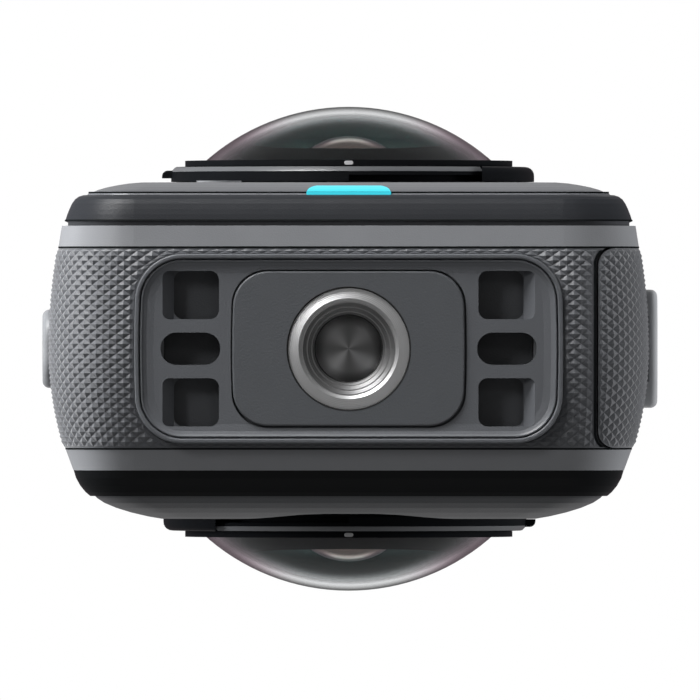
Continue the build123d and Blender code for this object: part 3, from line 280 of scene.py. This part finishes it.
# The cone inside the insert's ring is painted darker than the ring, as painted shade inside the bore
paint("turned_steel", (0.66, 0.66, 0.665), "tripod_insert", roughness=0.54, metallic=1.0, noise=0.05, anisotropic=0.4,
      core=(3.55, 0.42), turned=0.2)
paint("fastener_steel", (0.5, 0.5, 0.5), "frame_screws", "base_screws", "usb_hinge_pin", roughness=0.3, metallic=1.0,
      noise=0.08, bump=0.1)
lens_black = paint("lens_black", (0.004, 0.0045, 0.0054), "front_lens_seat", "rear_lens_seat", "front_lens_lock",
                   "rear_lens_lock", "front_lens_cell", "rear_lens_cell", "front_lens_barrel", "rear_lens_barrel",
                   "lens_bracket", roughness=0.5, specular=0.08, noise=0.1, bump=0.15, bump_scale=9000)
# Both glasses bend little of what is behind them, and reflect pink as if coated
paint("coated_glass", (0.82, 0.96, 0.95), "front_inner_lens", "rear_inner_lens", roughness=0.0, transmission=1.0,
      noise=0.03, scale=120, ior=1.12, specular_tint=(1.0, 0.86, 0.92), sheen=0.3, sheen_tint=(1.0, 0.6, 0.8),
      sheen_roughness=0.25, coat=0.6, coat_roughness=0.15, coat_ior=1.6, coat_tint=(0.84, 0.97, 0.96))
paint("clear_guard", (0.97, 0.985, 0.985), "front_lens_dome", "rear_lens_dome", roughness=0.0, transmission=1.0,
      ior=1.3, noise=0.01, scale=120, specular_tint=(1.0, 0.82, 0.91), haze=250)
paint("board_green", (0.01, 0.06, 0.03), "main_board", "side_switch_board", "front_switch_board", "usb_board",
      "front_sensor_board", "rear_sensor_board", roughness=0.45, noise=0.3, scale=1500, bump=0.3)
paint("inner_plastic", (0.03, 0.03, 0.032), "battery_bay", "speaker", "microphones", roughness=0.6, noise=0.1, bump=0.2)
paint("battery_plastic", (0.05, 0.05, 0.055), "battery", roughness=0.55, noise=0.1, bump=0.3)
paint("contact_gold", (0.8, 0.55, 0.2), "battery_contacts", roughness=0.25, metallic=1.0, noise=0.08)
paint("socket_steel", (0.55, 0.55, 0.57), "usb_socket", "card_socket", roughness=0.28, metallic=1.0, noise=0.08)
paint("card_black", (0.012, 0.012, 0.013), "memory_card", roughness=0.4, noise=0.1, bump=0.1)
paint("spreader_metal", (0.45, 0.45, 0.47), "heat_spreader", roughness=0.35, metallic=0.9, noise=0.08)

dot_paint = material("dot_paint", (0.42, 0.42, 0.43), roughness=0.5, noise=0.05)
wall_teal = material("inner_wall", (0.016, 0.085, 0.078), roughness=0.5, noise=0.15, bump=0.1)
trim_black = material("trim_black", (0.085, 0.088, 0.093), roughness=0.35, noise=0.08, bump=0.1, bump_scale=9000)
ring_black = material("inner_ring", (0.003, 0.0032, 0.0035), roughness=0.6, noise=0.1, bump=0.1)
small_glass = material("small_element", (1.0, 0.48, 0.44), roughness=0.05, metallic=1.0, noise=0.1, coat=1.0,
                       coat_ior=1.9)
# The bore floor's colour carries painted highlight fans round its axis
turned_floor = material("turned_floor", (0.55, 0.55, 0.555), roughness=0.4, metallic=1.0, noise=0.04, anisotropic=0.7,
                        highlight_fans=(4, -0.3))
# A lighter grey than the bezel: a painted highlight along the front frame's top edge
lip_highlight_grey = material("lip_highlight_grey", (0.12, 0.125, 0.135), roughness=0.36, noise=0.06, bump=0.1, bump_scale=9000)


def outline_point(s, inset):
    """The point X, Z at a length s along the outline from the base's middle, inset towards the inside."""
    sign = 1 if s >= 0 else -1
    s = abs(s)
    if s < FLAT:
        x, z, nx, nz = s, BOTTOM, 0, -1
    elif s < FLAT + LOW_ARC:
        a = (s - FLAT) / LOW
        nx, nz = math.sin(a), -math.cos(a)
        x, z = HALF - LOW + LOW * nx, BOTTOM + LOW + LOW * nz
    elif s < FLAT + LOW_ARC + SIDE:
        x, z, nx, nz = HALF, BOTTOM + LOW + s - FLAT - LOW_ARC, 1, 0
    elif s < FLAT + LOW_ARC + SIDE + HIGH_ARC:
        a = (s - FLAT - LOW_ARC - SIDE) / HIGH
        nx, nz = math.cos(a), math.sin(a)
        x, z = HALF - HIGH + HIGH * nx, TOP - HIGH + HIGH * nz
    else:
        x, z, nx, nz = HALF - HIGH - (s - FLAT - LOW_ARC - SIDE - HIGH_ARC), TOP, 0, 1
    return sign * (x - inset * nx), z - inset * nz


def crown(y):
    """How far the wrap's curved section lies inside the outline at y."""
    edge, inset = (WRAP[0], EDGE_INSET[0]) if y < 0 else (WRAP[1], EDGE_INSET[1])
    radius = (edge ** 2 + inset ** 2) / (2 * inset)
    return radius - math.sqrt(radius ** 2 - y ** 2)


def side_s(z):
    """The length along the outline of a height on the side."""
    return HALF - LOW + LOW_ARC + z - BOTTOM - LOW


def seam_s(x, y):
    """The length along the outline where the lower corner passes a given X."""
    radius = LOW - crown(y) - GROUND
    a = math.asin(min(max((x - HALF + LOW) / radius, 0), 1))
    return HALF - LOW + LOW * a


def door_edge(x, y, room, corner=SEAM_CORNER):
    """The X of the socket door's seam at y, with its rounded corners."""
    over = abs(y) - (WRAP[1] + room - corner)
    return x + corner - math.sqrt(max(corner ** 2 - max(over, 0) ** 2, 0))


def clear_of_holes(s, y, holes):
    """The place s, y, or the nearest one on the edge of the rounded hole that it is in."""
    for middle_s, middle_y, half_s, half_y, corner in holes:
        u, v = s - middle_s, y - middle_y
        du, dv = max(abs(u) - (half_s - corner), 0), max(abs(v) - (half_y - corner), 0)
        if abs(u) < half_s and abs(v) < half_y and math.hypot(du, dv) < corner:
            if du > 0 and dv > 0:
                k = corner / math.hypot(du, dv)
                s = middle_s + math.copysign(half_s - corner + du * k, u)
                y = middle_y + math.copysign(half_y - corner + dv * k, v)
            elif half_s - abs(u) < half_y - abs(v):
                s = middle_s + math.copysign(half_s, u)
            else:
                y = middle_y + math.copysign(half_y, v)
    return s, y


def deep_in_hole(s, y, holes):
    """Whether a place is more than a pitch inside a hole."""
    for middle_s, middle_y, half_s, half_y, corner in holes:
        du, dv = abs(s - middle_s) - half_s + corner, abs(y - middle_y) - half_y + corner
        if math.hypot(max(du, 0), max(dv, 0)) + min(max(du, dv), 0) - corner < -PITCH_S:
            return True
    return False


def knurl(name, body, low, high, holes=()):
    """Rows of small four sided pyramids on the wrap, from low(y) to high(y) along the outline, clear of the holes."""
    y_low, y_high = WRAP[0] + MARGIN, WRAP[1] - MARGIN
    whole_area = PITCH_S * PITCH_Y / 2
    reach = whole_area / math.hypot(PITCH_S, PITCH_Y)
    vertices, faces, index = [], [], {}

    def clip(s, y):
        y = min(max(y, y_low), y_high)
        return clear_of_holes(min(max(s, low(y)), high(y)), y, holes)

    def put(s, y, lift):
        x, z = outline_point(s, crown(y) + GROUND - lift)
        vertices.append((x, y, z))
        return len(vertices) - 1

    start = min(low(0), low(y_low), low(y_high)) - PITCH_S
    stop = max(high(0), high(y_low), high(y_high)) + PITCH_S
    columns = range(math.floor(2 * start / PITCH_S), math.ceil(2 * stop / PITCH_S) + 1)
    rows = range(math.floor(2 * y_low / PITCH_Y) - 1, math.ceil(2 * y_high / PITCH_Y) + 2)
    for i, j in ((i, j) for i in columns for j in rows if (i + j) % 2 == 0):
        s, y = i * PITCH_S / 2, j * PITCH_Y / 2
        if deep_in_hole(s, y, holes):
            continue
        corners = [clip(s + a * PITCH_S / 2, y + b * PITCH_Y / 2) for a, b in ((1, 0), (0, 1), (-1, 0), (0, -1))]
        edges = list(zip(corners, corners[1:] + corners[:1]))
        share = sum((s1 * y2 - s2 * y1) / 2 for (s1, y1), (s2, y2) in edges) / whole_area
        if share < SMALLEST_SHARE:
            continue
        ring = []
        for place in corners:
            key = (round(place[0], 4), round(place[1], 4))
            if key not in index:
                index[key] = put(*place, 0.004)
            ring.append(index[key])
        middle_s, middle_y = (sum(corner[k] for corner in corners) / 4 for k in (0, 1))
        # A pyramid that is cut down is lower in proportion, and half of that at the high end's seam
        room = reach
        for (s1, y1), (s2, y2) in edges:
            length = math.hypot(s2 - s1, y2 - y1)
            if length > 0.001:
                room = min(room, abs((s2 - s1) * (middle_y - y1) - (y2 - y1) * (middle_s - s1)) / length)
        at_seam = share < WHOLE_SHARE and high(y) - s < PITCH_S
        tip = put(middle_s, middle_y, KNURL_HEIGHT * room / reach * (0.5 if at_seam else 1))
        faces += [(a, b, tip) for a, b in zip(ring, ring[1:] + ring[:1]) if a != b]
    mesh_piece(name, vertices, faces, body, grip)


def button_hole(z, half_s=6.35, half_y=4.92, corner=3.35):
    """The hole in the knurl round a side button at a height."""
    return side_s(z), 0, half_s, half_y, corner


def turned_ring(name, profile, sign, body, surface, steps=96):
    """A piece turned from radius, depth pairs, round the lens axis (sign -1 in front, 1 behind) or the thread's (0)."""
    vertices, faces = [], []
    count = len(profile)
    for step in range(steps):
        a = 2 * math.pi * step / steps
        for radius, depth in profile:
            u, v = radius * math.cos(a), radius * math.sin(a)
            vertices.append((u, sign * depth, LENS_Z + v) if sign else (u, v, depth))
    for step in range(steps):
        here, there = step * count, (step + 1) % steps * count
        for k in range(count - 1):
            face = (here + k, here + k + 1, there + k + 1, there + k)
            faces.append(face if sign < 0 else face[::-1])
    smooth(mesh_piece(name, vertices, faces, body, surface), 50)


def cap(radius, apex, edge, steps=16):
    """The profile of a spherical cap, from its edge to its apex."""
    end = math.asin(edge / radius)
    angles = [end * (1 - k / steps) for k in range(steps + 1)]
    return [(radius * math.sin(a) + 1e-4, apex - radius + radius * math.cos(a)) for a in angles]


def loft(count, turns, closed):
    """The faces between a number of turns of a closed profile with count points."""
    faces = []
    for i in range(turns if closed else turns - 1):
        for k in range(count):
            n, j = (k + 1) % count, (i + 1) % turns
            faces.append((i * count + k, i * count + n, j * count + n, j * count + k))
    return faces


def dot(name, body, sign, depth, low, width=0.7, height=0.32, proud=0.02, steps=24):
    """The alignment dot on the edge of a lens ring, a little proud of it."""
    outline = []
    for step in range(steps):
        a = 2 * math.pi * step / steps
        shift = math.copysign((width - height) / 2, math.cos(a))
        outline.append((shift + height / 2 * math.cos(a), height / 2 * math.sin(a)))
    base = [(x, sign * (depth + y), low + 0.05) for x, y in outline]
    rim = [(x, sign * (depth + y), low - proud / 2) for x, y in outline]
    face = [(0.85 * x, sign * (depth + 0.8 * y), low - proud) for x, y in outline]
    faces = []
    for k in range(steps):
        n = (k + 1) % steps
        faces += [(k, n, steps + n, steps + k), (steps + k, steps + n, 2 * steps + n, 2 * steps + k)]
    faces.append(tuple(range(2 * steps, 3 * steps)))
    mesh_piece(name, base + rim + face, faces, body, dot_paint)


def chamfer(name, body, sign, profile, stop, surface, steps=120):
    """A bevelled trim round a lens ring, left out beyond a side distance where the ring's block stands."""
    free = math.acos(stop / max(r for r, depth in profile))
    vertices = []
    for step in range(steps + 1):
        a = free + (2 * math.pi - 2 * free) * step / steps
        for r, depth in profile:
            vertices.append((-sign * r * math.cos(a), sign * depth, LENS_Z + r * math.sin(a)))
    count = len(profile)
    faces = loft(count, steps + 1, closed=False)
    faces += [tuple(range(count)), tuple(range(steps * count, (steps + 1) * count))[::-1]]
    smooth(mesh_piece(name, vertices, faces, body, surface), 30)


def outline_band(name, profile, surface, sign=-1, steps=14):
    """A thin trim right round the outline, from a closed profile of inset, depth pairs, in front or behind (1)."""
    places, s = [], 0
    for length, parts in ((FLAT, 2), (LOW_ARC, steps), (SIDE, 2), (HIGH_ARC, steps), (HALF - HIGH, 2)):
        places += [s + length * j / parts for j in range(parts)]
        s += length
    places = [-place for place in places[:0:-1]] + places + [s]
    vertices = []
    for place in places:
        for inset, depth in profile:
            x, z = outline_point(place, inset)
            vertices.append((x, sign * depth, z))
    faces = loft(len(profile), len(places), closed=True)
    smooth(mesh_piece(name, vertices, faces, "camera_body", surface), 30)


def rounded_lock(name, node, sign):
    """The lens lock ring with its block's and its lug's outer edges rounded, in place of the square ended solid."""
    # Depths of the block's and of the lug's face, the block's radius and how far out the lug ends
    top, lug_top, block, lug = 14.38, 14.09, 14.67, 14.77
    grid = bmesh.new()
    grid.from_mesh(nodes[node].data)
    bmesh.ops.remove_doubles(grid, verts=grid.verts, dist=1e-6)
    bmesh.ops.dissolve_limit(grid, angle_limit=math.radians(1), verts=grid.verts, edges=grid.edges)

    def at(vertex):
        """X towards the block, depth and height from the lens axis, in mm."""
        x, y, z = (c / MM for c in vertex.co)
        return -sign * x, sign * y, z - LENS_Z

    def on_block(vertex):
        """Whether it is on the outer edge of the block's face."""
        x, depth, z = at(vertex)
        return x > 10 and abs(depth - top) < 0.01 and abs(math.hypot(x, z) - block) < 0.02

    def on_lug(vertex):
        """Whether it is on the outer edge of the lug's face."""
        x, depth, z = at(vertex)
        return abs(x + lug) < 0.01 and abs(depth - lug_top) < 0.01

    for test, size in ((on_block, 0.75), (on_lug, 0.45)):
        edges = [edge for edge in grid.edges if test(edge.verts[0]) and test(edge.verts[1])]
        bmesh.ops.bevel(grid, geom=edges, offset=size * MM, offset_type="OFFSET", segments=5, profile=0.5,
                        affect="EDGES", clamp_overlap=True)
    bmesh.ops.triangulate(grid, faces=grid.faces)
    # The bevel's order isn't the same each run, so vertices and faces are sorted
    corners = sorted(grid.verts, key=lambda vertex: tuple(vertex.co))
    number = {vertex: index for index, vertex in enumerate(corners)}
    faces = []
    for face in grid.faces:
        ring = [number[vertex] for vertex in face.verts]
        first = ring.index(min(ring))
        faces.append(tuple(ring[first:] + ring[:first]))
    vertices = [tuple(c / MM for c in vertex.co) for vertex in corners]
    grid.free()
    piece = mesh_piece(name, vertices, sorted(faces), node, lens_black)
    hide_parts(node)
    smooth(piece, 30)


def light_lip():
    """The lower edge of the light bar, along the front frame."""
    outline = [(-3.2, 11.86), (-3.2, 11.68), (-3.12, 11.61), (3.12, 11.61), (3.2, 11.68), (3.2, 11.86)]
    count = len(outline)
    vertices = [(x, -y, BOTTOM + z) for z in (2.95, 3.3) for x, y in outline]
    faces = [tuple(range(count)), tuple(range(count, 2 * count))[::-1]]
    faces += [(k, (k + 1) % count, (k + 1) % count + count, k + count) for k in range(count)]
    mesh_piece("light_lip", vertices, faces, "camera_body", cyan)


def light_lens():
    """The rounded lens of the light bar, on the plate's curved edge."""
    # Half width, depth and height of each row
    rows = [(3.2, 11.65, 3.25), (3.19, 11.84, 3.52), (3.08, 12.03, 3.94), (3.03, 12.09, 4.15), (2.95, 12.15, 4.36),
            (2.84, 12.21, 4.56), (2.68, 12.27, 4.83), (2.5, 12.31, 5.02)]
    count = len(rows)
    vertices = [(side * x, -y - lift, z - lift) for side in (-1, 1) for lift in (0.02, -0.02) for x, y, z in rows]
    faces = [(k, k + 1, 2 * count + k + 1, 2 * count + k) for k in range(count - 1)]
    faces += [(k, count + k, count + k + 1, k + 1) for k in range(count - 1)]
    faces += [(2 * count + k, 2 * count + k + 1, 3 * count + k + 1, 3 * count + k) for k in range(count - 1)]
    faces += [(0, 2 * count, 3 * count, count), (count - 1, 2 * count - 1, 4 * count - 1, 3 * count - 1)]
    mesh_piece("light_lens", vertices, faces, "camera_body", cyan)


def door_strip(wide=0.18, lift=0.03, steps=24):
    """The dark edge of the wrap along the socket door's seam."""
    corner = SEAM_CORNER
    straight, reach = WRAP[1] + SEAM_ROOM - corner, WRAP[1] - MARGIN
    vertices = []
    for step in range(-steps, steps + 1):
        share = abs(step) / steps
        for radius in (corner, corner + wide):
            if share < 0.5:
                x, y = SEAM_STRIP + corner - radius, straight * share / 0.5
            else:
                a = math.asin((reach - straight) / radius) * (share - 0.5) / 0.5
                x, y = SEAM_STRIP + corner - radius * math.cos(a), straight + radius * math.sin(a)
            y = math.copysign(y, step)
            px, pz = outline_point(seam_s(x, y), crown(y) + GROUND - lift)
            vertices.append((px, y, pz))
    faces = [(k, k + 1, k + 3, k + 2) for k in range(0, len(vertices) - 2, 2)]
    mesh_piece("door_strip", vertices, faces, "camera_body", seam_black)


# The knurl, clear of the base panel, the speaker's grille, the door's latch, the side buttons and the battery's latch
top_middle = side_s(TOP - HIGH) + HIGH_ARC + HALF - HIGH
knurl("knurl_base", "camera_body", lambda y: -side_s(14.75),
      lambda y: seam_s(door_edge(SEAM_WRAP, y, SEAM_ROOM, 1.5), y),
      [(0, 0, 16.26, 7.16, 3.61), (-side_s(10.6), 0, 2.65, 3.15, 0.3)])
knurl("knurl_door", "usb_door", lambda y: seam_s(door_edge(SEAM_DOOR, y, 0), y), lambda y: side_s(31.2),
      [(side_s(12.4), 0, 3.75, 2.85, 0.4)])
knurl("knurl_side", "camera_body", lambda y: side_s(34.6), lambda y: top_middle, [button_hole(72), button_hole(55)])
knurl("knurl_cover", "battery_pack", lambda y: -side_s(84.9), lambda y: -side_s(15.1),
      [(-side_s(73.25), 0, 7.6, 3.35, 2.6)])
knurl("knurl_top", "camera_body", lambda y: -top_middle, lambda y: -side_s(85.3))

# The lenses
for side, sign in (("front", -1), ("rear", 1)):
    turned_ring(side + "_inner_ring", [(7.75, 14.12), (7.6, 15.3), (7.52, 15.46), (7.36, 15.46)], sign, "camera_body",
                ring_black)
    turned_ring(side + "_inner_wall", [(7.36, 15.46), (7.1, 14.5), (6.8, 14.3), (4.2, 14.25), (3.4, 14.14)], sign,
                "camera_body", wall_teal)
    turned_ring(side + "_small_element", cap(4.83, 15.45, 3.1), sign, "camera_body", small_glass)
    chamfer(side + "_lock_trim", side + "_lens_lock", sign,
            [(13.6, 13.97), (14.04, 13.99), (14.0, 14.08), (13.74, 14.35), (13.6, 14.35)], 10.55, trim_black)
    dot(side + "_dot", side + "_lens_guard", sign, 14.64, LENS_Z - 12.95)
    rounded_lock(side + "_rounded_lock", side + "_lens_lock", sign)

# The tripod thread
# A black ring at the thread's mouth is painted shade, the dark line where the bore wall falls away
turned_ring("thread_shadow_ring", [(2.59, 1.38), (2.5, 1.43), (2.5, 1.5), (2.59, 1.55)], 0, "camera_body", ring_black)
turned_ring("insert_seam", [(4.57, 0.385), (4.6, 0.34), (4.65, 0.185), (4.69, 0.185), (4.7, 0.2)], 0, "camera_body",
            ring_black)
turned_ring("bore_floor", [(0.02, 7.12), (0.9, 7.13), (1.7, 7.14), (2.5, 7.15), (2.56, 7.2)], 0, "camera_body",
            turned_floor)

# Seams and trims right round the body
outline_band("wrap_seam_front", [(0.81, 7.61), (0.81, 7.73), (1.2, 7.73), (1.2, 7.61)], seam_black)
outline_band("wrap_seam_rear", [(1.35, 7.51), (1.35, 7.63), (1.75, 7.63), (1.75, 7.51)], seam_black, 1)
outline_band("frame_seam", [(1.29, 9.66), (1.33, 9.77), (1.6, 9.77), (1.6, 9.66)], seam_black)
# The frame's lip is painted lighter than the bezel, a painted highlight along the frame's top edge
outline_band("frame_lip", [(3.0, 11.6), (3.06, 11.72), (3.12, 11.76), (3.3, 11.76), (3.3, 11.6)], lip_highlight_grey)
outline_band("plate_seam", [(3.09, 11.75), (3.1, 11.88), (3.4, 11.88), (3.4, 11.75)], seam_black)

light_lip()
light_lens()
door_strip()


def stage_floor(half=3, below=0.0002):
    """A pale floor, in metres, which can't be seen from below."""
    mesh = bpy.data.meshes.new("floor")
    mesh.from_pydata([(-half, -half, 0), (half, -half, 0), (half, half, 0), (-half, half, 0)], [], [(0, 1, 2, 3)])
    floor = bpy.data.objects.new("floor", mesh)
    floor.location.z = -below
    bpy.context.scene.collection.objects.link(floor)
    m = bpy.data.materials.new("pale_floor")
    m.use_nodes = True
    tree = m.node_tree
    shader = tree.nodes["Principled BSDF"]
    shader.inputs["Base Color"].default_value = (0.4, 0.4, 0.4, 1)
    shader.inputs["Roughness"].default_value = 0.8
    shader.inputs["Emission Color"].default_value = (1, 1, 1, 1)
    shader.inputs["Emission Strength"].default_value = 0.7
    clear = tree.nodes.new("ShaderNodeBsdfTransparent")
    mix = tree.nodes.new("ShaderNodeMixShader")
    side = tree.nodes.new("ShaderNodeNewGeometry")
    tree.links.new(side.outputs["Backfacing"], mix.inputs[0])
    tree.links.new(shader.outputs[0], mix.inputs[1])
    tree.links.new(clear.outputs[0], mix.inputs[2])
    tree.links.new(mix.outputs[0], tree.nodes["Material Output"].inputs["Surface"])
    mesh.materials.append(m)
    floor.visible_shadow = False
    floor.visible_diffuse = False
    floor.visible_glossy = False
    floor.visible_transmission = False


def studio():
    """A white backdrop, with two soft pools of light high in front and behind for the reflections in the domes."""
    world = bpy.data.worlds.new("studio")
    bpy.context.scene.world = world
    world.use_nodes = True
    tree = world.node_tree
    light = tree.nodes["Background"]
    way = tree.nodes.new("ShaderNodeTexCoord")
    parts = tree.nodes.new("ShaderNodeSeparateXYZ")
    tree.links.new(way.outputs["Generated"], parts.inputs[0])
    along = compute(tree, "ABSOLUTE", parts.outputs["Y"])
    above = ramp(tree, parts.outputs["Z"], 0.74, 0.95, kind="SMOOTHSTEP")
    apart = ramp(tree, along, 0.15, 0.5, kind="SMOOTHSTEP")
    # They fade towards the sides, where they turn pink like the coating
    ratio = compute(tree, "DIVIDE", compute(tree, "ABSOLUTE", parts.outputs["X"]), along)
    fade = ramp(tree, ratio, 0.25, 0.7, 1, 0.12, "SMOOTHSTEP")
    rosy = compute(tree, "MULTIPLY", ramp(tree, ratio, 0.2, 0.6, kind="SMOOTHSTEP"), above)
    pink = tree.nodes.new("ShaderNodeMix")
    pink.data_type = "RGBA"
    pink.inputs["A"].default_value = (1, 1, 1, 1)
    pink.inputs["B"].default_value = (1, 0.8, 0.89, 1)
    tree.links.new(rosy, pink.inputs["Factor"])
    tree.links.new(pink.outputs["Result"], light.inputs["Color"])
    pool = compute(tree, "MULTIPLY", above, compute(tree, "MULTIPLY", apart, fade))
    tree.links.new(compute(tree, "MULTIPLY_ADD", pool, 0.95, 0.15), light.inputs["Strength"])
    seen = tree.nodes.new("ShaderNodeBackground")
    seen.inputs["Color"].default_value = (1, 1, 1, 1)
    path = tree.nodes.new("ShaderNodeLightPath")
    mix = tree.nodes.new("ShaderNodeMixShader")
    tree.links.new(path.outputs["Is Camera Ray"], mix.inputs[0])
    tree.links.new(light.outputs[0], mix.inputs[1])
    tree.links.new(seen.outputs[0], mix.inputs[2])
    tree.links.new(mix.outputs[0], tree.nodes["World Output"].inputs["Surface"])


def area_light(name, place, aim, size, power, flag=None):
    """A lamp, in metres. One with a flag shows in reflections, but not in those of the flagged pieces."""
    lamp = bpy.data.lights.new(name, "AREA")
    lamp.shape = "RECTANGLE"
    lamp.size, lamp.size_y = size
    lamp.energy = power
    light = bpy.data.objects.new(name, lamp)
    bpy.context.scene.collection.objects.link(light)
    light.location = place
    light.visible_camera = False
    light.visible_glossy = bool(flag)
    light.visible_transmission = False
    if flag:
        light.light_linking.receiver_collection = flag
    way = Vector(aim) - Vector(place)
    light.rotation_euler = way.to_track_quat("-Z", "Y").to_euler()


def place_camera():
    """The camera below the base, far away, so that near and far parts are almost to one scale."""
    camera = bpy.data.cameras.new("camera")
    camera.lens = 1440
    camera.sensor_width = 36
    camera.clip_end = 20
    eye = bpy.data.objects.new("camera", camera)
    bpy.context.scene.collection.objects.link(eye)
    eye.location = (0.0981 * MM, 0.0981 * MM, -2.113)
    eye.rotation_euler = (math.pi, 0, 0)
    bpy.context.scene.camera = eye
    bpy.context.scene.view_settings.view_transform = "Standard"


stage_floor()
studio()
# The glossy screen is flagged off from the small lights, as in a studio
screen_flag = bpy.data.collections.new("screen_flag")
screen_flag.objects.link(nodes["screen_glass"])
screen_flag.collection_objects[0].light_linking.link_state = "EXCLUDE"
area_light("key", (-0.17, -0.31, -0.09), (0, 0, 0), (0.2, 0.12), 2.25, screen_flag)
area_light("slant", (-0.3, -0.2, -0.35), (0, 0, 0), (0.1, 0.1), 0.5, screen_flag)
area_light("left", (-0.35, -0.03, 0.09), (0, 0, 0.03), (0.15, 0.15), 2.4)
area_light("right", (0.4, 0.0, 0.1), (0, 0, 0.03), (0.15, 0.2), 2.0)
area_light("low", (0.0, 0.3, -0.2), (0, 0, 0.05), (0.4, 0.2), 0.05, screen_flag)
area_light("glint", (0.15, -0.2, -0.5), (0, 0, 0), (0.04, 0.04), 0.06, screen_flag)
area_light("fill", (-0.3, -0.2, 0.9), (0, 0, 0.06), (0.6, 0.6), 3)
area_light("back", (-0.2, 0.6, 0.3), (0, 0, 0.06), (0.4, 0.4), 1.2)
place_camera()
